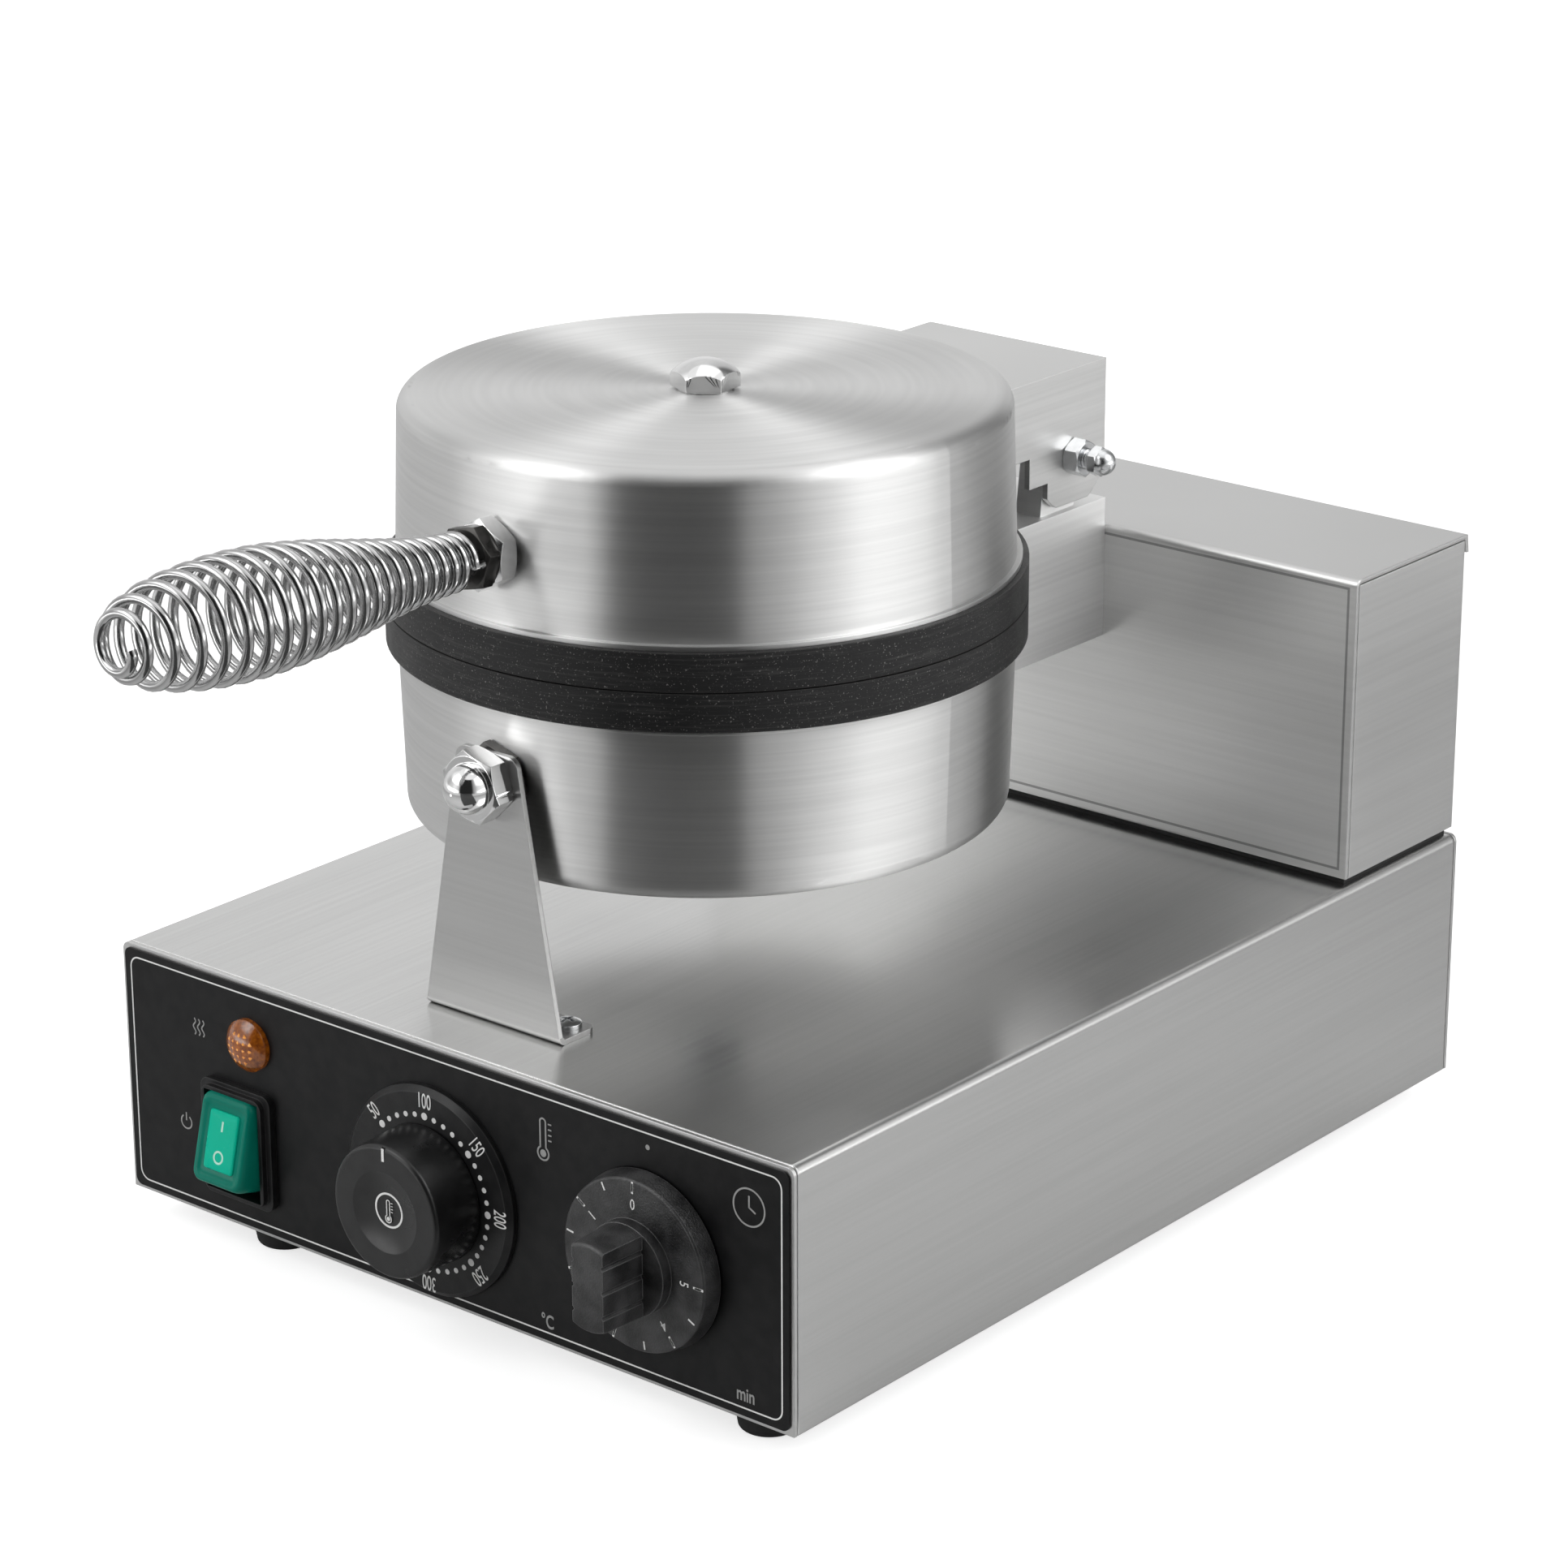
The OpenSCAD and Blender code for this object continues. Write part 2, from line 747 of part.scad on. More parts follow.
module bracket_outline() {
    round_x = bracket_top_w / 2 - bracket_round;
    polygon([[-bracket_foot_w / 2, 0], [bracket_foot_w / 2, 0],
        [bracket_top_w / 2, bracket_h - bracket_round],
        [-bracket_top_w / 2, bracket_h - bracket_round]]);
    translate([-round_x, 0]) square([2 * round_x, bracket_h]);
    for (x = [-1, 1]) translate([x * round_x, bracket_h - bracket_round])
        circle(bracket_round);
}

module bracket_foot_outline() {
    r = bracket_foot_round;
    translate([-bracket_foot_w / 2, 0]) square([bracket_foot_w, bracket_foot_d - r]);
    translate([-bracket_foot_w / 2 + r, 0]) square([bracket_foot_w - 2 * r, bracket_foot_d]);
    for (x = [-1, 1]) translate([x * (bracket_foot_w / 2 - r), bracket_foot_d - r])
        circle(r);
}

module bracket_screw_spots() {
    for (x = [-1, 1])
        translate([x * bracket_screw_x_share * bracket_foot_w,
            bracket_y + bracket_screw_y, deck_z + bracket_t]) children();
}

module front_bracket() {
    color(bright) machine() difference() {
        intersection() {
            translate([0, bracket_y, deck_z + bracket_h]) mirror([0, 0, 1])
                slab_x(bracket_foot_w)
                    bent_corner(bracket_foot_d, bracket_h, bracket_bend, bracket_t);
            union() {
                translate([0, 0, deck_z]) slab_y(bracket_y, bracket_bend)
                    bracket_outline();
                translate([0, bracket_y, deck_z]) linear_extrude(bracket_bend)
                    bracket_foot_outline();
            }
        }
        bracket_screw_spots() translate([0, 0, -bracket_t - over])
            cylinder(d = screw_d + fit, h = bracket_t + 2 * over);
        translate([0, bracket_y - over, support_z]) rotate([-90, 0, 0])
            cylinder(d = support_d + fit, h = bracket_t + 2 * over);
    }
}

module bracket_screws() {
    color(bright) machine() bracket_screw_spots() pan_screw(screw_grip);
}

module support_bolt() {
    front = bracket_y - dome_hex_h;
    rear = support_face_y + shell_t + nut_seat + inner_nut_h + over;
    color(bright) machine() translate([0, rear, support_z]) rotate([90, 0, 0])
        cylinder(d = support_d, h = rear - front);
}

module support_inner_nut() {
    color(bright) machine()
        translate([0, support_face_y + shell_t + nut_seat, support_z])
            rotate([-90, 0, 0]) hex_nut(support_nut_af, inner_nut_h, support_d + 2 * run_fit);
}

module bracket_lock_nut() {
    rear = support_face_y - lock_seat;
    front = bracket_y + bracket_t;
    color(cast_black) machine() translate([0, front, support_z]) rotate([-90, 0, 0])
        hex_nut(support_nut_af, rear - front, support_d + 2 * run_fit);
}

module bracket_dome_nut() {
    color(bright) machine() translate([0, bracket_y, support_z]) rotate([90, 0, 0])
        difference() {
            union() {
                hex_prism(support_nut_af, dome_hex_h);
                translate([0, 0, dome_hex_h]) sphere(dome_r);
            }
            translate([0, 0, -dome_hex_h]) cylinder(d = support_d + 2 * run_fit,
                h = 2 * dome_hex_h + touch);
            translate([0, 0, -2 * dome_r])
                cylinder(r = dome_r * 2, h = 2 * dome_r);
        }
}

// Pans. Each is drawn as the lower one; the lid's is mirrored across the parting gap.

module lid_side() {
    translate([0, 0, parting_z + lid_rim_z]) mirror([0, 0, 1]) children();
}

module at_pan(z) {
    translate([0, pan_y, z]) children();
}

// The cup outline, from its closed end at z = 0 to its rim at z = h
module cup_outline(h, r, edge_r) {
    closed_r = r - pan_draft;
    polygon([[0, 0], [closed_r - edge_r, 0], [closed_r, edge_r], [r, h], [0, h]]);
    translate([closed_r - edge_r, edge_r]) circle(edge_r);
}

module shell_profile(h) {
    difference() {
        union() {
            cup_outline(h, pan_r, pan_edge_r);
            translate([0, h - flare_h]) square([pan_r + flare_r, flare_h]);
        }
        translate([0, shell_t])
            cup_outline(h, pan_r - shell_t, pan_edge_r - shell_t);
        translate([-pan_r, -over]) square([pan_r, h + 2 * over]);
        square([bolt_d + fit, 3 * shell_t], center = true);
    }
}

module pan_shell(h) {
    difference() {
        at_pan(rim_z - h) rotate_extrude() shell_profile(h);
        at_pan(rim_z - wire_hole_z) rotate([-90, 0, 0])
            cylinder(d = wire_hole_d / 2, h = 2 * pan_r);
    }
}

module comb(count) {
    foot = stud_top / 2 + stud_draft;
    half = count / 2 * stud_pitch;
    translate([-half, 0]) square([2 * half, touch]);
    for (i = [0:count - 1])
        translate([(i - (count - 1) / 2) * stud_pitch, 0])
            polygon([[-foot, 0], [-stud_top / 2, stud_h], [stud_top / 2, stud_h],
                [foot, 0]]);
}

module waffle_grid() {
    count = 2 * floor((recess_r - grid_margin) / stud_pitch);
    half = recess_r;
    intersection() {
        rotate([90, 0, 0]) translate([0, 0, -half]) linear_extrude(2 * half) comb(count);
        rotate([90, 0, 90]) translate([0, 0, -half]) linear_extrude(2 * half) comb(count);
        cylinder(r = recess_r - grid_margin, h = stud_h);
    }
    for (a = [0, 90]) rotate(a)
        translate([-recess_r, -divider_t / 2, 0]) cube([2 * recess_r, divider_t, stud_h]);
}

module cooking_plate() {
    at_pan(0) difference() {
        union() {
            difference() {
                union() {
                    translate([0, 0, rim_z]) cylinder(r = plate_r, h = rim_t);
                    translate([0, 0, plate_back_z])
                        cylinder(r = core_r, h = rim_z - plate_back_z + touch);
                }
                translate([0, 0, parting_z - recess_depth])
                    cylinder(r = recess_r, h = recess_depth + over);
            }
            translate([0, 0, parting_z - recess_depth - touch]) waffle_grid();
            translate([0, 0, plate_back_z - element_d]) cylinder(d = boss_d, h = element_d + touch);
        }
        translate([0, 0, plate_back_z - element_d - over])
            cylinder(d = bolt_d + 2 * run_fit, h = element_d + over + touch);
    }
}

module heating_element() {
    at_pan(plate_back_z - element_d / 2 - touch / 2) rotate(90 + (360 - element_arc) / 2) {
        rotate_extrude(angle = element_arc) translate([element_r, 0])
            circle(d = element_d - touch);
        for (a = [0, element_arc]) rotate(a) translate([element_r, 0, 0]) {
            sphere(d = element_d - touch);
            translate([0, 0, -element_leg]) cylinder(d = element_d - touch, h = element_leg);
        }
    }
}

module element_cover() {
    at_pan(plate_back_z - element_d - cover_t) difference() {
        cylinder(r = cover_r, h = cover_t);
        translate([0, 0, -over]) cylinder(d = bolt_d + fit, h = cover_t + 2 * over);
        leg_holes() circle(d = element_d + fit);
    }
}

module leg_holes() {
    translate([0, 0, -over]) rotate(90 + (360 - element_arc) / 2)
        for (a = [0, element_arc]) rotate(a) translate([element_r, 0, 0])
            linear_extrude(2 * lower_pan_h) children();
}

module insulation(h) {
    low_z = rim_z - h + shell_t + wool_gap;
    high_z = plate_back_z - element_d - cover_t - wool_gap;
    at_pan(low_z) difference() {
        cylinder(r = wool_r, h = high_z - low_z);
        translate([0, 0, -over]) cylinder(d = wool_bore_d, h = high_z);
        leg_holes() circle(d = element_d + 4 * fit);
    }
}

// The bolt through the closed end of a pan shell into its plate, with a domed hex head
module clamp_bolt(h) {
    corner_r = bolt_af / 2 / cos(30);
    ball_r = (corner_r * corner_r + bolt_dome_h * bolt_dome_h) / (2 * bolt_dome_h);
    at_pan(rim_z - h) {
        translate([0, 0, -bolt_seat_h]) cylinder(d = bolt_seat_d, h = bolt_seat_h);
        translate([0, 0, -bolt_head_h]) intersection() {
            cylinder(r = corner_r, h = bolt_head_h - bolt_seat_h + touch, $fn = 6);
            translate([0, 0, ball_r]) sphere(ball_r);
        }
        translate([0, 0, -touch])
            cylinder(d = bolt_d, h = plate_back_z - touch - rim_z + h);
    }
}

module lower_pan_shell() {
    color(steel) machine() difference() {
        pan_shell(lower_pan_h);
        translate([0, pan_y, support_z]) rotate([90, 0, 0])
            cylinder(d = support_d + fit, h = pan_r + over);
    }
}

module upper_pan_shell() {
    color(steel) machine() difference() {
        lid_side() pan_shell(upper_pan_h);
        on_handle() translate([0, 0, -stud_in]) cylinder(d = stud_d + fit, h = 2 * stud_in);
    }
}

module lower_plate() {
    color(cast_black) machine() cooking_plate();
}

module upper_plate() {
    color(cast_black) machine() lid_side() cooking_plate();
}

module lower_heating_element() {
    color(cast_black) machine() heating_element();
}

module upper_heating_element() {
    color(cast_black) machine() lid_side() heating_element();
}

module lower_element_cover() {
    color(steel) machine() element_cover();
}

module upper_element_cover() {
    color(steel) machine() lid_side() element_cover();
}

module lower_insulation() {
    color("beige") machine() insulation(lower_pan_h);
}

module upper_insulation() {
    color("beige") machine() lid_side() insulation(upper_pan_h);
}

module lower_clamp_bolt() {
    color(bright) machine() clamp_bolt(lower_pan_h);
}

module lid_bolt() {
    color(bright) machine() lid_side() clamp_bolt(upper_pan_h);
}

// Hinge

module at_pin() {
    translate([0, pin_y, pin_z]) children();
}

module lug_outline() {
    circle(lug_r);
    polygon([[-lug_front, -pin_rise], [lug_rear, -pin_rise], [lug_r, 0], [-lug_r, 0]]);
}

module lower_hinge_block() {
    bottom_z = parting_z - block_h;
    length = housing_y - pan_y;
    lug_x = block_w / 2 - block_t - side_fit - lug_t / 2;
    color(steel) machine() difference() {
        union() {
            translate([-block_w / 2, pan_y, bottom_z]) cube([block_w, length, block_h]);
            at_pin() for (x = [-1, 1]) translate([x * lug_x, 0, 0]) slab_x(lug_t)
                lug_outline();
        }
        translate([-block_w / 2 + block_t, pan_y - over, bottom_z + block_t])
            cube([block_w - 2 * block_t, length + 2 * over, block_h - 2 * block_t]);
        at_pan(bottom_z - over) cylinder(r = pan_r + weld_gap, h = block_h + 2 * over);
        at_pan(rim_z - flare_h - fit)
            cylinder(r = plate_r + lid_gap, h = block_h);
        at_pin() rotate([0, 90, 0]) translate([0, 0, -block_w])
            cylinder(d = pin_d + 2 * run_fit, h = 2 * block_w);
    }
}

module hinge_sleeve() {
    length = block_w - 2 * (block_t + side_fit + lug_t + fit);
    color(bright) machine() at_pin() rotate([0, 90, 0]) translate([0, 0, -length / 2])
        difference() {
            cylinder(d = sleeve_d, h = length);
            translate([0, 0, -over])
                cylinder(d = pin_d + 2 * run_fit, h = length + 2 * over);
        }
}

module arm_outline() {
    swing_r = pin_rise - swing_gap;
    front = pin_y - pan_y;
    translate([-front, arm_relief_rise])
        square([front + arm_back, arm_rise - arm_relief_rise]);
    translate([-arm_front_relief, 0])
        square([arm_front_relief + arm_back, arm_relief_rise + touch]);
    translate([-arm_front_relief, -arm_notch_drop])
        square([arm_front_relief, arm_notch_drop + touch]);
    intersection() {
        circle(swing_r);
        translate([-tongue_front, -tongue_drop])
            square([tongue_front + arm_back, tongue_drop + touch]);
    }
}

module upper_hinge_arm() {
    front = pin_y - pan_y;
    color(steel) machine() difference() {
        at_pin() {
            for (x = [-1, 1]) translate([x * (block_w - block_t) / 2, 0, 0])
                slab_x(block_t) arm_outline();
            translate([-block_w / 2, -front, arm_rise - block_t])
                cube([block_w, front + arm_back, block_t]);
            translate([-block_w / 2, arm_back - block_t, arm_back_rise])
                cube([block_w, block_t, arm_rise - arm_back_rise]);
        }
        at_pan(parting_z) cylinder(r = pan_r + weld_gap, h = upper_pan_h + 2 * rim_t);
        at_pin() rotate([0, 90, 0]) translate([0, 0, -block_w])
            cylinder(d = pin_d + 2 * run_fit, h = 2 * block_w);
    }
}

function cap_start() = block_w / 2 + hinge_nut_h + cap_gap;

module hinge_pin() {
    half = cap_start() + cap_hex_h;
    color(bright) machine() at_pin() rotate([0, 90, 0]) translate([0, 0, -half])
        cylinder(d = pin_d, h = 2 * half);
}

module hinge_nuts() {
    color(bright) machine() at_pin() for (x = [0, 1]) mirror([x, 0, 0])
        translate([block_w / 2, 0, 0]) rotate([0, 90, 0])
            hex_nut(hinge_nut_af, hinge_nut_h, pin_d + 2 * run_fit);
}

module hinge_cap_nuts() {
    color(bright) machine() at_pin() for (x = [0, 1]) mirror([x, 0, 0])
        translate([cap_start(), 0, 0]) rotate([0, 90, 0]) difference() {
            union() {
                hex_prism(cap_af, cap_hex_h);
                translate([0, 0, cap_hex_h]) sphere(d = cap_af);
            }
            translate([0, 0, -cap_af])
                cylinder(d = pin_d + 2 * run_fit, h = cap_af + cap_hex_h + touch);
            translate([0, 0, -cap_af]) cylinder(d = 2 * cap_af, h = cap_af);
        }
}

// Handle

module on_handle() {
    translate([0, handle_face_y, handle_z]) rotate([90 - handle_tilt, 0, 0]) children();
}

module handle_stud() {
    color(bright) machine() on_handle() translate([0, 0, -stud_in])
        cylinder(d = stud_d, h = stud_in + stud_out);
}

module handle_nut() {
    color(bright) machine() on_handle() translate([0, 0, handle_nut_s])
        rotate(handle_nut_turn) hex_nut(handle_nut_af, handle_nut_h, stud_d + 2 * run_fit);
}

module handle_lock_nut() {
    color(cast_black) machine() on_handle()
        translate([0, 0, handle_nut_s + handle_nut_h]) rotate(lock_nut_turn)
            hex_nut(lock_nut_af, lock_nut_h, stud_d + 2 * run_fit);
}

module handle_inner_nut() {
    color(bright) machine() on_handle()
        translate([0, 0, -shell_t - inner_nut_gap - inner_nut_h])
            hex_nut(handle_nut_af, inner_nut_h, stud_d + 2 * run_fit);
}

module handle_spring() {
    color(bright) machine() on_handle() translate([0, 0, spring_start_s])
        polyhedron(points = spring_points, faces = concat(spring_sides, spring_caps));
}

// Controls. Local z runs forward from the fascia, local y runs up.

module on_panel(x, z) {
    translate([x, -fascia_t, foot_h + z]) rotate([90, 0, 0]) children();
}

module temperature_dial() {
    color(black) machine() on_panel(temp_x, temp_z) rotate_extrude()
        polygon([[dial_hole_d / 2, 0], [dial_r, 0], [dial_r, dial_t - dial_bevel],
            [dial_r - dial_bevel, dial_t], [dial_hole_d / 2, dial_t]]);
}

module knob_profile(low_r, high_r, low, high, r) {
    polygon([[0, low], [low_r, low], [high_r, high - r], [0, high - r]]);
    translate([0, high - 2 * r]) square([high_r - r, 2 * r]);
    translate([high_r - r, high - r]) circle(r);
}

module temperature_knob() {
    low = dial_t + knob_gap;
    ball_r = (dish_r * dish_r + dish_depth * dish_depth) / (2 * dish_depth);
    color(black) machine() on_panel(temp_x, temp_z) difference() {
        union() {
            rotate_extrude() knob_profile(temp_knob_r, temp_knob_r - knob_taper, low,
                temp_knob_h, knob_round);
            cylinder(d = dial_hole_d - 2 * side_fit, h = low + touch);
        }
        translate([0, 0, temp_knob_h - dish_depth + ball_r]) sphere(ball_r);
        translate([0, 0, -over])
            cylinder(d = shaft_d + 2 * run_fit, h = shaft_in + over + touch);
        translate([-index_w / 2, temp_knob_r - knob_taper - index_l, temp_knob_h - index_w / 2])
            cube([index_w, 2 * index_l, index_w]);
    }
}

module panel_shaft(x, z) {
    on_panel(x, z) translate([0, 0, -fascia_t - sheet_t - shaft_in])
        cylinder(d = shaft_d, h = fascia_t + sheet_t + 2 * shaft_in);
}

module bush(x, z) {
    on_panel(x, z) translate([0, 0, -fascia_t - sheet_t - touch])
        cylinder(d = bush_d, h = fascia_t + sheet_t);
}

module shaft_bore(x, z) {
    on_panel(x, z) translate([0, 0, -fascia_t - sheet_t - shaft_in - touch])
        cylinder(d = shaft_d + 2 * run_fit, h = 2 * shaft_in);
}

module thermostat_body() {
    color("tan") machine() difference() {
        union() {
            on_panel(temp_x, temp_z)
                translate([0, 0, -fascia_t - sheet_t - thermostat_d])
                    linear_extrude(thermostat_d)
                        rounded_rect(thermostat_w, thermostat_h, bend_r);
            bush(temp_x, temp_z);
        }
        shaft_bore(temp_x, temp_z);
    }
}

module timer_body() {
    color("gray") machine() difference() {
        union() {
            on_panel(timer_x, timer_z)
                translate([0, 0, -fascia_t - sheet_t - timer_can_h])
                    cylinder(d = timer_can_d, h = timer_can_h);
            bush(timer_x, timer_z);
        }
        shaft_bore(timer_x, timer_z);
    }
}

module thermostat_shaft() {
    color(bright) machine() panel_shaft(temp_x, temp_z);
}

module timer_shaft() {
    color(bright) machine() panel_shaft(timer_x, timer_z);
}

module timer_bar() {
    half_root = bar_w / 2 + bar_taper;
    intersection() {
        rotate([90, 0, 0]) translate([0, 0, -bar_l]) linear_extrude(2 * bar_l)
            polygon([[-half_root, skirt_h], [half_root, skirt_h],
                [bar_w / 2, timer_knob_h], [-bar_w / 2, timer_knob_h]]);
        rotate_extrude()
            knob_profile(boss_r, bar_l / 2, skirt_h, timer_knob_h, bar_round);
    }
}

module timer_knob() {
    low = timer_skirt_gap;
    lean = atan(bar_taper / (timer_knob_h - skirt_h));
    color(black) machine() on_panel(timer_x, timer_z) difference() {
        union() {
            rotate_extrude() knob_profile(skirt_r, skirt_r - skirt_taper, low, skirt_h,
                skirt_taper);
            translate([0, 0, skirt_h - touch]) cylinder(r = boss_r, h = boss_h + touch);
            timer_bar();
        }
        for (s = groove_shares, x = [0, 1]) mirror([x, 0, 0])
            translate([bar_w / 2 + bar_taper, s * bar_l, skirt_h + boss_h])
                rotate([0, -lean, 0]) cylinder(r = groove_r, h = timer_knob_h);
        translate([0, 0, -over])
            cylinder(d = shaft_d + 2 * run_fit, h = shaft_in + over + touch);
    }
}

module power_switch_body() {
    outer_w = switch_window_w + 2 * switch_wall;
    outer_h = switch_window_h + 2 * switch_wall;
    color(black) machine() on_panel(switch_x, switch_z) difference() {
        union() {
            linear_extrude(bezel_t) rounded_rect(bezel_w, bezel_h, bezel_round);
            linear_extrude(collar_h) rounded_rect(outer_w, outer_h, boot_round);
            translate([0, 0, -switch_depth]) linear_extrude(switch_depth + touch)
                square([outer_w, outer_h], center = true);
        }
        translate([0, 0, -boot_back - rocker_back]) linear_extrude(switch_depth)
            square([switch_window_w, switch_window_h], center = true);
        translate([0, 0, -rocker_pivot]) rotate([0, 90, 0])
            translate([0, 0, -outer_w]) cylinder(d = trunnion_d + 2 * run_fit, h = 2 * outer_w);
    }
}

// The rocker turns on a level axis behind the frame
module on_rocker() {
    on_panel(switch_x, switch_z) translate([0, 0, -rocker_pivot])
        rotate([-rocker_tilt, 0, 0]) translate([0, 0, rocker_pivot]) children();
}

module trunnion(d, length) {
    translate([0, 0, -rocker_pivot]) rotate([0, 90, 0]) translate([0, 0, -length / 2])
        cylinder(d = d, h = length);
}

module rocker_boot() {
    color("seagreen") machine() on_rocker() difference() {
        translate([0, 0, -boot_back]) linear_extrude(boot_back + boot_front)
            rounded_rect(boot_w, boot_h, boot_round);
        translate([0, 0, -boot_back - over])
            linear_extrude(boot_back + boot_front - boot_t + over)
                rounded_rect(boot_w - 2 * boot_t, boot_h - 2 * boot_t, boot_round - boot_t);
        translate([0, 0, -boot_back - over]) linear_extrude(boot_back - rocker_pivot + over)
            square([2 * boot_w, trunnion_d + fit], center = true);
        trunnion(trunnion_d + fit, 2 * boot_w);
    }
}

module power_rocker() {
    w = boot_w - 2 * boot_t - 2 * rocker_play;
    h = boot_h - 2 * boot_t - 2 * rocker_play;
    color("mediumseagreen") machine() on_rocker() {
        translate([0, 0, -boot_back]) linear_extrude(boot_back + boot_front - boot_t
            - rocker_front_gap) square([w, h], center = true);
        trunnion(trunnion_d, switch_window_w + 2 * switch_wall);
    }
}

module lamp_lens() {
    r = lamp_d / 2;
    ball_r = (r * r + lamp_dome_h * lamp_dome_h) / (2 * lamp_dome_h);
    color("orange") machine() on_panel(lamp_x, lamp_z) {
        cylinder(r = r, h = lamp_rim_t);
        intersection() {
            translate([0, 0, lamp_rim_t - touch]) cylinder(r = r, h = lamp_dome_h + touch);
            translate([0, 0, lamp_rim_t + lamp_dome_h - ball_r]) sphere(ball_r);
        }
        translate([0, 0, -fascia_t - sheet_t])
            cylinder(d = lamp_neck_d, h = fascia_t + sheet_t + touch);
    }
}

module lamp_body() {
    color(black) machine() on_panel(lamp_x, lamp_z)
        translate([0, 0, -fascia_t - sheet_t - lamp_body_l])
            cylinder(d = lamp_body_d, h = lamp_body_l);
}

// Mains connection

module terminal_block() {
    pole = block_l / block_poles;
    color("ivory") machine()
        translate([gland_x, base_d - flange_w - block_gap - block_depth, foot_h + sheet_t])
            difference() {
            union() {
                translate([-block_l / 2, 0, 0]) cube([block_l, block_depth, block_height / 2]);
                for (i = [0:block_poles - 1])
                    translate([(i - (block_poles - 1) / 2) * pole, 0, block_height / 2])
                        rotate([-90, 0, 0]) cylinder(d = block_lobe_d, h = block_depth);
            }
            for (i = [0:block_poles - 1])
                translate([(i - (block_poles - 1) / 2) * pole, -over, block_height / 2])
                    rotate([-90, 0, 0])
                        cylinder(d = block_lobe_d / 2, h = block_depth + 2 * over);
        }
}

module cable_gland() {
    color(black) machine() translate([gland_x, base_d, foot_h + gland_z])
        rotate([-90, 0, 0]) difference() {
            union() {
                translate([0, 0, -gland_in]) cylinder(d = gland_thread_d, h = gland_in + touch);
                translate([0, 0, -sheet_t - gland_nut_h]) hex_prism(gland_hex_af, gland_nut_h);
                hex_prism(gland_hex_af, gland_hex_h);
                translate([0, 0, gland_hex_h - touch])
                    cylinder(d1 = gland_hex_af - 2 * touch, d2 = gland_thread_d - 2 * touch,
                        h = gland_out - gland_hex_h + touch);
            }
            translate([0, 0, -gland_in - over])
                cylinder(d = gland_bore, h = gland_in + gland_out + 2 * over);
        }
}

base_shell();
front_panel();
control_fascia();
rear_panel();
base_plate();
base_plate_screws();
rubber_feet();
foot_screws();
foot_nuts();
housing_cover();
housing_body();
housing_gasket();
housing_screws();
front_bracket();
bracket_screws();
support_bolt();
support_inner_nut();
bracket_lock_nut();
bracket_dome_nut();
lower_pan_shell();
lower_plate();
lower_heating_element();
lower_element_cover();
lower_insulation();
lower_clamp_bolt();
lower_hinge_block();
hinge_sleeve();
hinge_pin();
hinge_nuts();
hinge_cap_nuts();
upper_pan_shell();
upper_plate();
upper_heating_element();
upper_element_cover();
upper_insulation();
lid_bolt();
upper_hinge_arm();
handle_stud();
handle_nut();
handle_lock_nut();
handle_inner_nut();
handle_spring();
temperature_dial();
thermostat_body();
thermostat_shaft();
temperature_knob();
timer_body();
timer_shaft();
timer_knob();
power_switch_body();
power_rocker();
rocker_boot();
lamp_lens();
lamp_body();
terminal_block();
cable_gland();
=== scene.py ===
"""Looks of a round belgian waffle maker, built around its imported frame.

Lengths are in metres in the frame's own axes: X to the right, Y to the back, Z up.
"""

import logging
import math
from dataclasses import dataclass
from enum import Enum
from typing import Sequence

import bmesh
import bpy
from mathutils import Matrix, Vector


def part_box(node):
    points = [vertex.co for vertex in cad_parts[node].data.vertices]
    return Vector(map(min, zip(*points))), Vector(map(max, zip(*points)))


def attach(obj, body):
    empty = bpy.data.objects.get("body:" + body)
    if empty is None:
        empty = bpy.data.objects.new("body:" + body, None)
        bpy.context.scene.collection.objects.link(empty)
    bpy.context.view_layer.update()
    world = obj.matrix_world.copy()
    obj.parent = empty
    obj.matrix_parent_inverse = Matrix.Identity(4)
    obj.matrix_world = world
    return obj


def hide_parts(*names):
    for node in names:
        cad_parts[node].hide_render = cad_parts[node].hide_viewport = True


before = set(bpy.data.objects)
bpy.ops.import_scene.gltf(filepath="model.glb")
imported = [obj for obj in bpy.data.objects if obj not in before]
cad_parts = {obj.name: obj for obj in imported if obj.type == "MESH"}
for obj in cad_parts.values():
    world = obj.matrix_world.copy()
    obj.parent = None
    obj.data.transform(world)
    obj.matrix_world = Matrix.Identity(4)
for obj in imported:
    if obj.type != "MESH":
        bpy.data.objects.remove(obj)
log = logging.getLogger("waffle_maker")

MM = 0.001
# Middle radius of the pans' rims
PAN_RADIUS = 90 * MM
# Height of a digit as a share of its font's size
DIGIT_SHARE = 0.7

Colour = tuple[float, float, float]
Flat = tuple[float, float]
Input = tuple[str, str, object]
# Lower and upper end of a range, and the value at each
Ramp = tuple[float, float, float, float]

WHITE: Colour = (1.0, 1.0, 1.0)

FLOAT = "NodeSocketFloat"
INTEGER = "NodeSocketInt"
VECTOR = "NodeSocketVector"
FINISH = "NodeSocketMaterial"
GEOMETRY = "NodeSocketGeometry"


class Body(Enum):
    """The moving bodies of the frame."""

    BASE = "base"
    LID = "lid"
    TEMPERATURE = "temperature_control"
    TIMER = "timer_control"
    SWITCH = "power_switch"


class Grain(Enum):
    """How the brush marks of a steel piece run, as marks per metre along X, Y and Z."""

    ALONG_X = (11.0, 850.0, 850.0)
    ALONG_Y = (850.0, 11.0, 850.0)
    LEVEL = (11.0, 11.0, 850.0)
    ROUND = (14.0, 400.0, 1000.0)
    NONE = (300.0, 300.0, 300.0)


class MarkShape(Enum):
    """Outline of a mark that is repeated round a dial."""

    DOT = "dot"
    TICK = "tick"


# Node trees


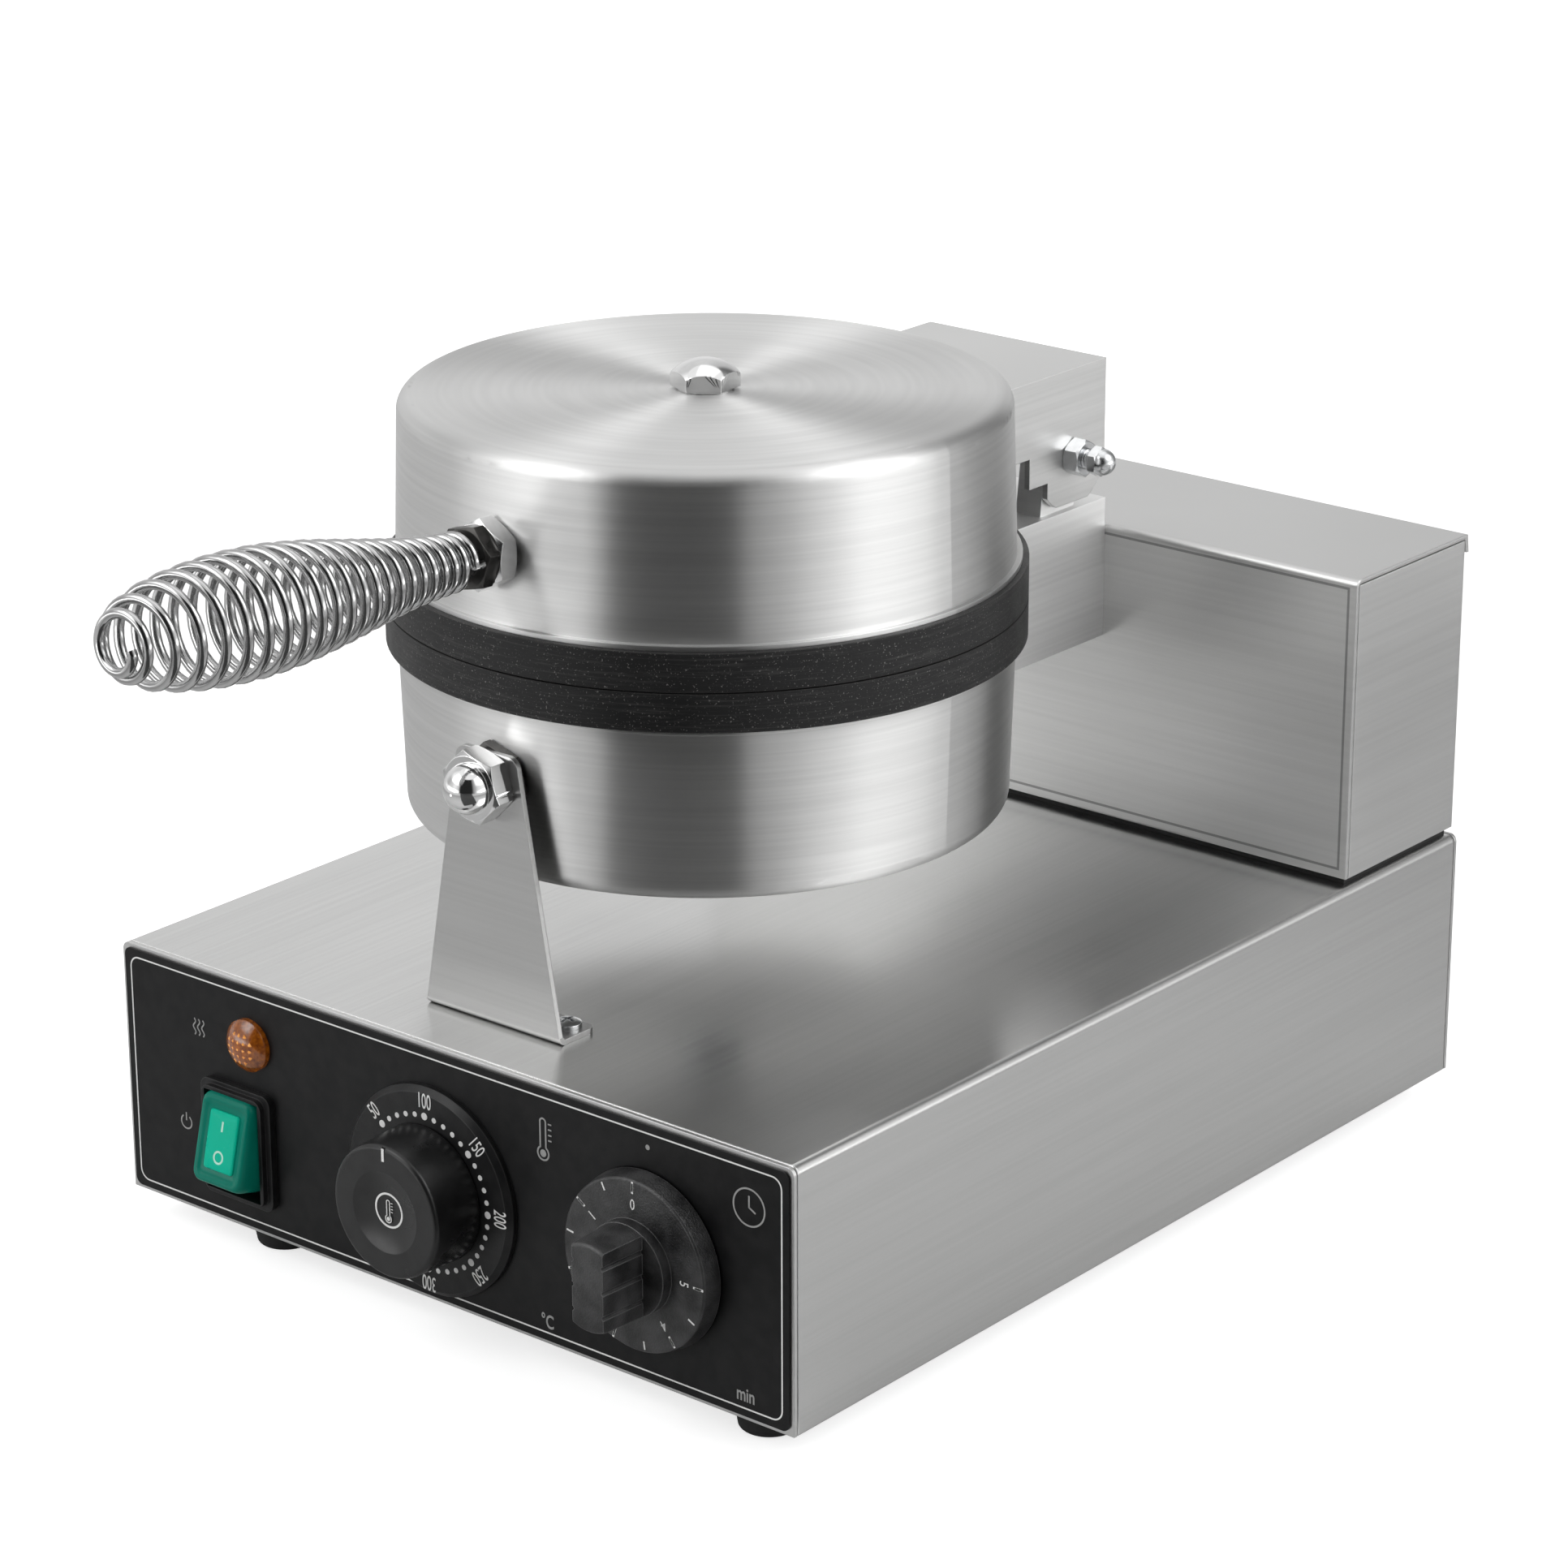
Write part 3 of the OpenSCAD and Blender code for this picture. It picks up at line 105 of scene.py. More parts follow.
class Graph:
    """A node tree under construction, with short calls for the nodes that it needs."""

    columns: int = 10
    column_width: float = 190.0
    row_height: float = 260.0

    def __init__(self, tree: bpy.types.NodeTree) -> None:
        """Write into this tree."""
        self.tree = tree
        self.count = 0

    def node(self, kind: str, **settings: object) -> bpy.types.Node:
        """Add one node.

        Args:
            kind: the node's identifier.
            settings: the node's own options by attribute name.

        Returns:
            The new node.
        """
        made = self.tree.nodes.new(kind)
        row, column = divmod(self.count, self.columns)
        made.location = (self.column_width * column, -self.row_height * row)
        self.count += 1
        for name, value in settings.items():
            setattr(made, name, value)
        return made

    def feed(self, socket: bpy.types.NodeSocket, value: object) -> None:
        """Link an output to a socket, or write the socket's own value.

        Args:
            socket: the input to fill.
            value: an output socket or a plain value, three numbers for a colour.
        """
        if isinstance(value, bpy.types.NodeSocket):
            self.tree.links.new(value, socket)
        elif socket.type == "RGBA":
            socket.default_value = (*value, 1.0)
        else:
            socket.default_value = value

    def fill(self, node: bpy.types.Node, values: dict[str, object]) -> bpy.types.Node:
        """Fill a node's inputs by name.

        Args:
            node: the node to fill.
            values: outputs or plain values by input name.

        Returns:
            The same node.
        """
        for name, value in values.items():
            self.feed(node.inputs[name], value)
        return node

    def math(self, operation: str, *values: object) -> bpy.types.NodeSocket:
        """Work out one number.

        Args:
            operation: the kind of sum.
            values: its numbers, as outputs or plain values.

        Returns:
            The result's output.
        """
        made = self.node("ShaderNodeMath", operation=operation)
        for socket, value in zip(made.inputs, values):
            self.feed(socket, value)
        return made.outputs[0]

    def vector(self, operation: str, *values: object) -> bpy.types.NodeSocket:
        """Work out one vector, or a number from vectors.

        Args:
            operation: the kind of sum.
            values: its vectors, as outputs or plain values.

        Returns:
            The result's output.
        """
        made = self.node("ShaderNodeVectorMath", operation=operation)
        for socket, value in zip(made.inputs, values):
            self.feed(socket, value)
        return made.outputs["Value" if operation in ("DOT_PRODUCT", "LENGTH") else "Vector"]

    def noise(self, position: object, scale: object, detail: float = 2.0,
              roughness: float = 0.5) -> bpy.types.NodeSocket:
        """Sample soft noise.

        Args:
            position: where it is read.
            scale: how many times it repeats in a metre.
            detail: how many finer layers it has.
            roughness: how strong the finer layers are.

        Returns:
            The noise, about one half on average.
        """
        made = self.node("ShaderNodeTexNoise")
        values = {"Vector": position, "Scale": scale, "Detail": detail, "Roughness": roughness}
        return self.fill(made, values).outputs[0]

    def remap(self, value: object, low: object, high: object, start: object = 0.0,
              end: object = 1.0) -> bpy.types.NodeSocket:
        """Map one range of numbers to another and stop at its ends.

        Args:
            value: the number to map.
            low: the lower end of its range.
            high: the upper end of its range.
            start: what the lower end becomes.
            end: what the upper end becomes.

        Returns:
            The mapped number.
        """
        made = self.node("ShaderNodeMapRange", clamp=True)
        names = ("Value", "From Min", "From Max", "To Min", "To Max")
        return self.fill(made, dict(zip(names, (value, low, high, start, end)))).outputs[0]

    def tint(self, share: object, low: object, high: object) -> bpy.types.NodeSocket:
        """Mix two colours.

        Args:
            share: how much of the second colour shows.
            low: the first colour.
            high: the second colour.

        Returns:
            The mixed colour.
        """
        made = self.node("ShaderNodeMix", data_type="RGBA")
        # The node has these places for the share and for two colours
        for index, value in ((0, share), (6, low), (7, high)):
            self.feed(made.inputs[index], value)
        return made.outputs[2]

    def split(self, vector: object) -> Sequence[bpy.types.NodeSocket]:
        """Take a vector apart.

        Args:
            vector: the vector.

        Returns:
            Its three numbers.
        """
        return self.fill(self.node("ShaderNodeSeparateXYZ"), {"Vector": vector}).outputs

    def join(self, x: object, y: object, z: object) -> bpy.types.NodeSocket:
        """Put a vector together.

        Args:
            x: its first number.
            y: its second number.
            z: its third number.

        Returns:
            The vector.
        """
        values = {"X": x, "Y": y, "Z": z}
        return self.fill(self.node("ShaderNodeCombineXYZ"), values).outputs[0]


def open_group(name: str, kind: str, inputs: Sequence[Input],
               outputs: Sequence[tuple[str, str]]) -> tuple[Graph, bpy.types.Node, bpy.types.Node]:
    """Start a node group with named inputs and outputs.

    Args:
        name: the group's name.
        kind: the kind of tree.
        inputs: name, kind and first value of each input.
        outputs: name and kind of each output.

    Returns:
        The graph, its input node and its output node.
    """
    tree = bpy.data.node_groups.new(name, kind)
    for label, socket_kind, value in inputs:
        socket = tree.interface.new_socket(label, in_out="INPUT", socket_type=socket_kind)
        if value is not None:
            socket.default_value = value
    for label, socket_kind in outputs:
        tree.interface.new_socket(label, in_out="OUTPUT", socket_type=socket_kind)
    graph = Graph(tree)
    return graph, graph.node("NodeGroupInput"), graph.node("NodeGroupOutput")


def empty_graph(owner: bpy.types.Material | bpy.types.World) -> Graph:
    """Clear the node tree of a material or a world.

    Args:
        owner: what the tree belongs to.

    Returns:
        Its graph, without any node.
    """
    owner.use_nodes = True
    owner.node_tree.nodes.clear()
    return Graph(owner.node_tree)


class Effects:
    """The shared surface effects, each a node group that is built once."""

    def __init__(self) -> None:
        """Build every shared effect."""
        self.brushing = self._brushing()
        self.clouding = self._clouding()
        self.soft_edges = self._soft_edges()
        self.moulding = self._moulding()
        self.casting = self._casting()
        self.round_path = self._round_path()
        self.fold_line = self._fold_line()

    def _brushing(self) -> bpy.types.NodeTree:
        """Brush marks, fine ones and broader streaks.

        Returns:
            The node group.
        """
        inputs = (("Position", VECTOR, None), ("Marks", VECTOR, None))
        outputs = (("Height", FLOAT), ("Streak", FLOAT))
        graph, start, end = open_group("brush_marks", "ShaderNodeTree", inputs, outputs)
        place = graph.vector("MULTIPLY", start.outputs["Position"], start.outputs["Marks"])
        # The streaks are read at another place, so they don't follow the fine marks
        elsewhere = graph.vector("ADD", place, (31.0, 7.0, 19.0))
        fine = graph.noise(place, scale=1.0, detail=1.0)
        broad = graph.noise(elsewhere, scale=0.2, detail=1.0)
        both = graph.math("MULTIPLY_ADD", fine, 0.65, graph.math("MULTIPLY", broad, 0.35))
        graph.fill(end, {"Height": broad, "Streak": graph.remap(both, 0.34, 0.66)})
        return graph.tree

    def _clouding(self) -> bpy.types.NodeTree:
        """Soft patches where a surface has been handled.

        Returns:
            The node group.
        """
        inputs = (("Position", VECTOR, None), ("Patch Size", FLOAT, 0.05))
        graph, start, end = open_group("handling_marks", "ShaderNodeTree", inputs,
                                       (("Mask", FLOAT),))
        scale = graph.math("DIVIDE", 1.0, start.outputs["Patch Size"])
        cloud = graph.noise(start.outputs["Position"], scale, detail=4.0, roughness=0.55)
        graph.fill(end, {"Mask": graph.remap(cloud, 0.36, 0.66)})
        return graph.tree

    def _soft_edges(self) -> bpy.types.NodeTree:
        """Rounded edges, and a mask of them that the finishes tint for wear and for painted
        highlights.

        Returns:
            The node group.
        """
        graph, start, end = open_group("rounded_edge_mask", "ShaderNodeTree", (("Radius", FLOAT, 0.0004),),
                                       (("Normal", VECTOR), ("Edge", FLOAT)))
        rounded = graph.fill(graph.node("ShaderNodeBevel", samples=4),
                             {"Radius": start.outputs["Radius"]}).outputs[0]
        flat = graph.node("ShaderNodeNewGeometry").outputs["Normal"]
        edge = graph.remap(graph.vector("DOT_PRODUCT", rounded, flat), 0.995, 0.9)
        graph.fill(end, {"Normal": rounded, "Edge": edge})
        return graph.tree

    def _moulding(self) -> bpy.types.NodeTree:
        """The sparked grain of a moulded surface.

        Returns:
            The node group.
        """
        inputs = (("Position", VECTOR, None), ("Grain Size", FLOAT, 0.0005))
        graph, start, end = open_group("moulded_grain", "ShaderNodeTree", inputs,
                                       (("Height", FLOAT), ("Sheen", FLOAT)))
        scale = graph.math("DIVIDE", 1.0, start.outputs["Grain Size"])
        wide = graph.math("MULTIPLY", scale, 0.07)
        fine = graph.noise(start.outputs["Position"], scale, roughness=0.6)
        coarse = graph.noise(start.outputs["Position"], wide, detail=3.0)
        graph.fill(end, {"Height": graph.remap(fine, 0.3, 0.7),
                         "Sheen": graph.remap(coarse, 0.35, 0.65)})
        return graph.tree

    def _casting(self) -> bpy.types.NodeTree:
        """Cast metal turned on its rim, with pits, scratches and bright specks.

        Returns:
            The node group.
        """
        inputs = (("Position", VECTOR, None), ("Round Path", VECTOR, None))
        graph, start, end = open_group("cast_skin", "ShaderNodeTree", inputs,
                                       (("Height", FLOAT), ("Speck", FLOAT), ("Scratch", FLOAT)))
        pits = graph.noise(start.outputs["Position"], 1100.0, detail=4.0, roughness=0.65)
        turned = graph.vector("MULTIPLY", start.outputs["Round Path"], (55.0, 900.0, 1500.0))
        scratch = graph.noise(turned, scale=1.0, detail=3.0, roughness=0.7)
        height = graph.math("MULTIPLY_ADD", pits, 0.5, graph.math("MULTIPLY", scratch, 0.5))
        speck = graph.noise(start.outputs["Position"], 1900.0, detail=1.0)
        graph.fill(end, {"Height": height, "Speck": graph.remap(speck, 0.66, 0.74),
                         "Scratch": graph.remap(scratch, 0.52, 0.74)})
        return graph.tree

    def _round_path(self) -> bpy.types.NodeTree:
        """Length round an upright axis, distance from it, and height.

        Returns:
            The node group.
        """
        inputs = (("Position", VECTOR, None), ("Centre", VECTOR, None))
        graph, start, end = open_group("round_path", "ShaderNodeTree", inputs, (("Path", VECTOR),))
        local = graph.vector("SUBTRACT", start.outputs["Position"], start.outputs["Centre"])
        x, y, z = graph.split(local)
        out = graph.math("SQRT", graph.math("ADD", graph.math("MULTIPLY", x, x),
                                            graph.math("MULTIPLY", y, y)))
        around = graph.math("MULTIPLY", graph.math("ARCTAN2", y, x), PAN_RADIUS)
        graph.fill(end, {"Path": graph.join(around, out, z)})
        return graph.tree

    def _fold_line(self) -> bpy.types.NodeTree:
        """A fine line of painted shade where the hem of a folded front face ends.

        Returns:
            The node group.
        """
        inputs = (("Position", VECTOR, None), ("Low", VECTOR, None), ("High", VECTOR, None),
                  ("Width", FLOAT, 0.0004), ("Darkness", FLOAT, 0.6))
        graph, start, end = open_group("fold_line", "ShaderNodeTree", inputs, (("Mask", FLOAT),))
        given = start.outputs
        over = graph.split(graph.vector("SUBTRACT", given["Position"], given["High"]))
        under = graph.split(graph.vector("SUBTRACT", given["Low"], given["Position"]))
        # Distance past the nearest side of the hem, in X and in Z
        edge = graph.math("MAXIMUM", over[0], under[0])
        edge = graph.math("MAXIMUM", edge, graph.math("MAXIMUM", over[2], under[2]))
        near = graph.math("LESS_THAN", graph.math("ABSOLUTE", edge), given["Width"])
        facing = graph.split(graph.node("ShaderNodeNewGeometry").outputs["True Normal"])[1]
        front = graph.math("LESS_THAN", facing, -0.9)
        mask = graph.math("MULTIPLY", graph.math("MULTIPLY", near, front), given["Darkness"])
        graph.fill(end, {"Mask": mask})
        return graph.tree


effects = Effects()


# Finishes


class Surface:
    """A material under construction: its shader, its graph and the shared effects on it."""

    def __init__(self, name: str) -> None:
        """Start an empty material with one shader.

        Args:
            name: the material's name.
        """
        self.material = bpy.data.materials.new(name)
        self.graph = empty_graph(self.material)
        self.shader = self.graph.node("ShaderNodeBsdfPrincipled")
        output = self.graph.node("ShaderNodeOutputMaterial")
        self.graph.feed(output.inputs["Surface"], self.shader.outputs[0])
        self.position = self.graph.node("ShaderNodeTexCoord").outputs["Object"]

    def effect(self, tree: bpy.types.NodeTree, values: dict[str, object]) -> bpy.types.Node:
        """Place one of the shared effects.

        Args:
            tree: the effect.
            values: its inputs by name.

        Returns:
            The node that holds it.
        """
        return self.graph.fill(self.graph.node("ShaderNodeGroup", node_tree=tree), values)

    def round_path(self) -> bpy.types.NodeSocket:
        """Position along a circle round the middle of the pans."""
        values = {"Position": self.position, "Centre": (0.0, pan_centre_y(), 0.0)}
        return self.effect(effects.round_path, values).outputs["Path"]

    def clouding(self, patch: float) -> bpy.types.NodeSocket:
        """Soft patches of this size."""
        values = {"Position": self.position, "Patch Size": patch}
        return self.effect(effects.clouding, values).outputs["Mask"]

    def moulding(self, grain_size: float) -> bpy.types.Node:
        """Sparked grain of this size."""
        values = {"Position": self.position, "Grain Size": grain_size}
        return self.effect(effects.moulding, values)

    def relief(self, height: object, depth: float, normal: object) -> bpy.types.NodeSocket:
        """Turn a height into a surface normal.

        Args:
            height: the height, from 0 to 1.
            depth: its depth in metres.
            normal: the normal under it.

        Returns:
            The relief's normal.
        """
        bump = self.graph.node("ShaderNodeBump")
        values = {"Strength": 1.0, "Distance": depth, "Height": height, "Normal": normal}
        return self.graph.fill(bump, values).outputs[0]

    def finish(self, values: dict[str, object]) -> bpy.types.Material:
        """Fill the shader.

        Args:
            values: its inputs by name.

        Returns:
            The finished material.
        """
        self.graph.fill(self.shader, values)
        return self.material


def middle(node: str) -> Vector:
    """Middle of a frame node's box."""
    low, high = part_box(node)
    return (low + high) / 2


def pan_centre_y() -> float:
    """Y of the upright axis of the pans."""
    return middle("upper_plate").y


@dataclass(frozen=True)
class SteelFinish:
    """Bare or plated steel with brush marks and handling marks."""

    name: str
    tint: Colour = (0.64, 0.64, 0.635)
    # How rough it is, and how far that strays over the surface
    roughness: float = 0.26
    play: float = 0.05
    grain: Grain = Grain.ALONG_Y
    grain_depth: float = 0.0008 * MM
    # How far the brush marks stray from the tint, and the size of the handling marks
    streaks: float = 0.035
    patch: float = 60 * MM
    anisotropy: float = 0.0
    edge_radius: float = 0.35 * MM
    # How much brighter than the tint its edges are painted, as a painted highlight
    edge_light: float = 1.25
    # The node whose front has a folded hem, and how far inside its edges the hem ends
    fold_inset: float = 2.8 * MM
    fold_node: str = ""
    # Colour of the painted shade along the edge of the hem
    fold_dark: Colour = (0.10, 0.10, 0.10)

    def build(self) -> bpy.types.Material:
        """Make the material.

        Returns:
            The steel.
        """
        surface = Surface(self.name)
        graph = surface.graph
        path = surface.round_path() if self.grain is Grain.ROUND else surface.position
        brushing = surface.effect(effects.brushing, {"Position": path, "Marks": self.grain.value})
        cloud = surface.clouding(self.patch)
        edges = surface.effect(effects.soft_edges, {"Radius": self.edge_radius})
        streak = brushing.outputs["Streak"]
        dark = tuple(channel * (1 - self.streaks) for channel in self.tint)
        light = tuple(min(1.0, channel * (1 + self.streaks)) for channel in self.tint)
        # Painted highlight: the rounded edges are painted brighter than the tint
        bright = tuple(min(0.98, channel * self.edge_light) for channel in self.tint)
        colour = graph.tint(edges.outputs["Edge"], graph.tint(streak, dark, light), bright)
        if self.fold_node:
            low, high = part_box(self.fold_node)
            inset = Vector((self.fold_inset,) * 3)
            fold = surface.effect(effects.fold_line, {"Position": surface.position,
                                                      "Low": low + inset, "High": high - inset})
            # Painted shade: a fine dark line along the edge of the hem
            colour = graph.tint(fold.outputs["Mask"], colour, self.fold_dark)
        rough = graph.math("MULTIPLY_ADD", cloud, self.play, self.roughness - self.play / 2)
        rough = graph.math("MULTIPLY_ADD", streak, self.play / 2, rough)
        normal = surface.relief(brushing.outputs["Height"], self.grain_depth,
                                edges.outputs["Normal"])
        return surface.finish({"Base Color": colour, "Metallic": 1.0, "Roughness": rough,
                               "Anisotropic": self.anisotropy, "Anisotropic Rotation": 0.25,
                               "Normal": normal})


@dataclass(frozen=True)
class CastFinish:
    """Seasoned cast iron, turned on the rim."""

    name: str = "seasoned_cast_iron"
    dark: Colour = (0.012, 0.012, 0.0125)
    light: Colour = (0.045, 0.044, 0.043)
    # Near black along the joint of the plates: soot, and painted shade of the gap between them
    soot: Colour = (0.003, 0.003, 0.003)
    speck: Colour = (0.16, 0.155, 0.15)
    worn: Colour = (0.10, 0.098, 0.095)
    metallic: float = 0.35
    roughness: float = 0.44
    play: float = 0.16
    patch: float = 25 * MM
    edge_radius: float = 0.6 * MM
    depth: float = 0.035 * MM
    # How far the soot and the painted shade of the gap reach from the joint of the two plates
    soot_reach: float = 0.7 * MM

    def build(self) -> bpy.types.Material:
        """Make the material.

        Returns:
            The cast iron.
        """
        surface = Surface(self.name)
        graph = surface.graph
        skin = surface.effect(effects.casting, {"Position": surface.position,
                                                "Round Path": surface.round_path()})
        cloud = surface.clouding(self.patch)
        edges = surface.effect(effects.soft_edges, {"Radius": self.edge_radius})
        colour = graph.tint(skin.outputs["Scratch"], self.dark, self.light)
        colour = graph.tint(skin.outputs["Speck"], colour, self.speck)
        rubbed = graph.math("MULTIPLY", edges.outputs["Edge"], 0.6)
        colour = graph.tint(rubbed, colour, self.worn)
        # Soot and painted shade: near black along the joint, where the gap between the plates lies
        # in shade
        level = graph.split(surface.position)[2]
        joint = (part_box("lower_plate")[1].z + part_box("upper_plate")[0].z) / 2
        away = graph.math("ABSOLUTE", graph.math("SUBTRACT", level, joint))
        soot_and_shade_mask = graph.remap(away, 0.2 * self.soot_reach, self.soot_reach, 0.9, 0.0)
        colour = graph.tint(soot_and_shade_mask, colour, self.soot)
        rough = graph.math("MULTIPLY_ADD", cloud, self.play, self.roughness - self.play / 2)
        rough = graph.math("MAXIMUM", rough, graph.math("MULTIPLY", soot_and_shade_mask, 0.85))
        normal = surface.relief(skin.outputs["Height"], self.depth, edges.outputs["Normal"])
        return surface.finish({"Base Color": colour, "Metallic": self.metallic,
                               "Roughness": rough, "Normal": normal})


@dataclass(frozen=True)
class MouldedFinish:
    """Plastic, rubber, film, ceramic or fibre, with its own grain, and edges painted lighter,
    partly wear and partly painted highlight.
    """

    name: str
    colour: Colour
    # Tone of the edges: partly wear, partly painted highlight
    worn: Colour
    roughness: float = 0.4
    play: float = 0.12
    grain_size: float = 0.5 * MM
    depth: float = 0.01 * MM
    patch: float = 18 * MM
    coat: float = 0.0
    # Strength of a painted glow: light the moulding gives off of its own
    glow: float = 0.0
    gloss: float = 0.4
    edge_radius: float = 0.4 * MM

    def build(self) -> bpy.types.Material:
        """Make the material.

        Returns:
            The moulded surface.
        """
        surface = Surface(self.name)
        graph = surface.graph
        skin = surface.moulding(self.grain_size)
        cloud = surface.clouding(self.patch)
        edges = surface.effect(effects.soft_edges, {"Radius": self.edge_radius})
        half = tuple((new + worn) / 2 for new, worn in zip(self.colour, self.worn))
        share = graph.math("MULTIPLY", skin.outputs["Sheen"], 0.35)
        colour = graph.tint(share, self.colour, half)
        # The edges are painted lighter: partly wear, partly painted highlight
        colour = graph.tint(graph.math("MULTIPLY", edges.outputs["Edge"], 0.7), colour, self.worn)
        rough = graph.math("MULTIPLY_ADD", cloud, self.play, self.roughness - self.play / 2)
        normal = surface.relief(skin.outputs["Height"], self.depth, edges.outputs["Normal"])
        values = {"Base Color": colour, "Roughness": rough, "Normal": normal,
                  "Coat Weight": self.coat, "Coat Roughness": 0.12,
                  "Specular IOR Level": self.gloss}
        # Painted glow: the surface gives off its own colour as light
        if self.glow:
            values |= {"Emission Color": colour, "Emission Strength": self.glow}
        return surface.finish(values)


@dataclass(frozen=True)
class InkFinish:
    """Printed ink with a faintly broken surface."""

    name: str
    colour: Colour
    thin: Colour
    roughness: float = 0.45
    grain_size: float = 0.3 * MM
    depth: float = 0.004 * MM

    def build(self) -> bpy.types.Material:
        """Make the material.

        Returns:
            The ink.
        """
        surface = Surface(self.name)
        graph = surface.graph
        skin = surface.moulding(self.grain_size)
        share = graph.math("MULTIPLY", skin.outputs["Height"], 0.4)
        colour = graph.tint(share, self.colour, self.thin)
        rough = graph.math("MULTIPLY_ADD", skin.outputs["Sheen"], 0.1, self.roughness)
        flat = graph.node("ShaderNodeNewGeometry").outputs["Normal"]
        normal = surface.relief(skin.outputs["Height"], self.depth, flat)
        return surface.finish({"Base Color": colour, "Roughness": rough, "Normal": normal})


@dataclass(frozen=True)
class LensFinish:
    """Clear moulded amber with a faint painted glow all over."""

    name: str
    colour: Colour
    deep: Colour
    roughness: float = 0.12
    # Strength of the painted glow
    glow: float = 0.30
    grain_size: float = 1.3 * MM
    depth: float = 0.03 * MM
    edge_radius: float = 0.5 * MM

    def build(self) -> bpy.types.Material:
        """Make the material.

        Returns:
            The amber.
        """
        surface = Surface(self.name)
        graph = surface.graph
        skin = surface.moulding(self.grain_size)
        edges = surface.effect(effects.soft_edges, {"Radius": self.edge_radius})
        colour = graph.tint(skin.outputs["Height"], self.deep, self.colour)
        rough = graph.math("MULTIPLY_ADD", skin.outputs["Sheen"], 0.08, self.roughness)
        normal = surface.relief(skin.outputs["Height"], self.depth, edges.outputs["Normal"])
        # The emission is a painted glow
        return surface.finish({"Base Color": colour, "Roughness": rough, "Normal": normal,
                               "Transmission Weight": 0.25, "Coat Weight": 0.6,
                               "Coat Roughness": 0.05, "Emission Color": colour,
                               "Emission Strength": self.glow})


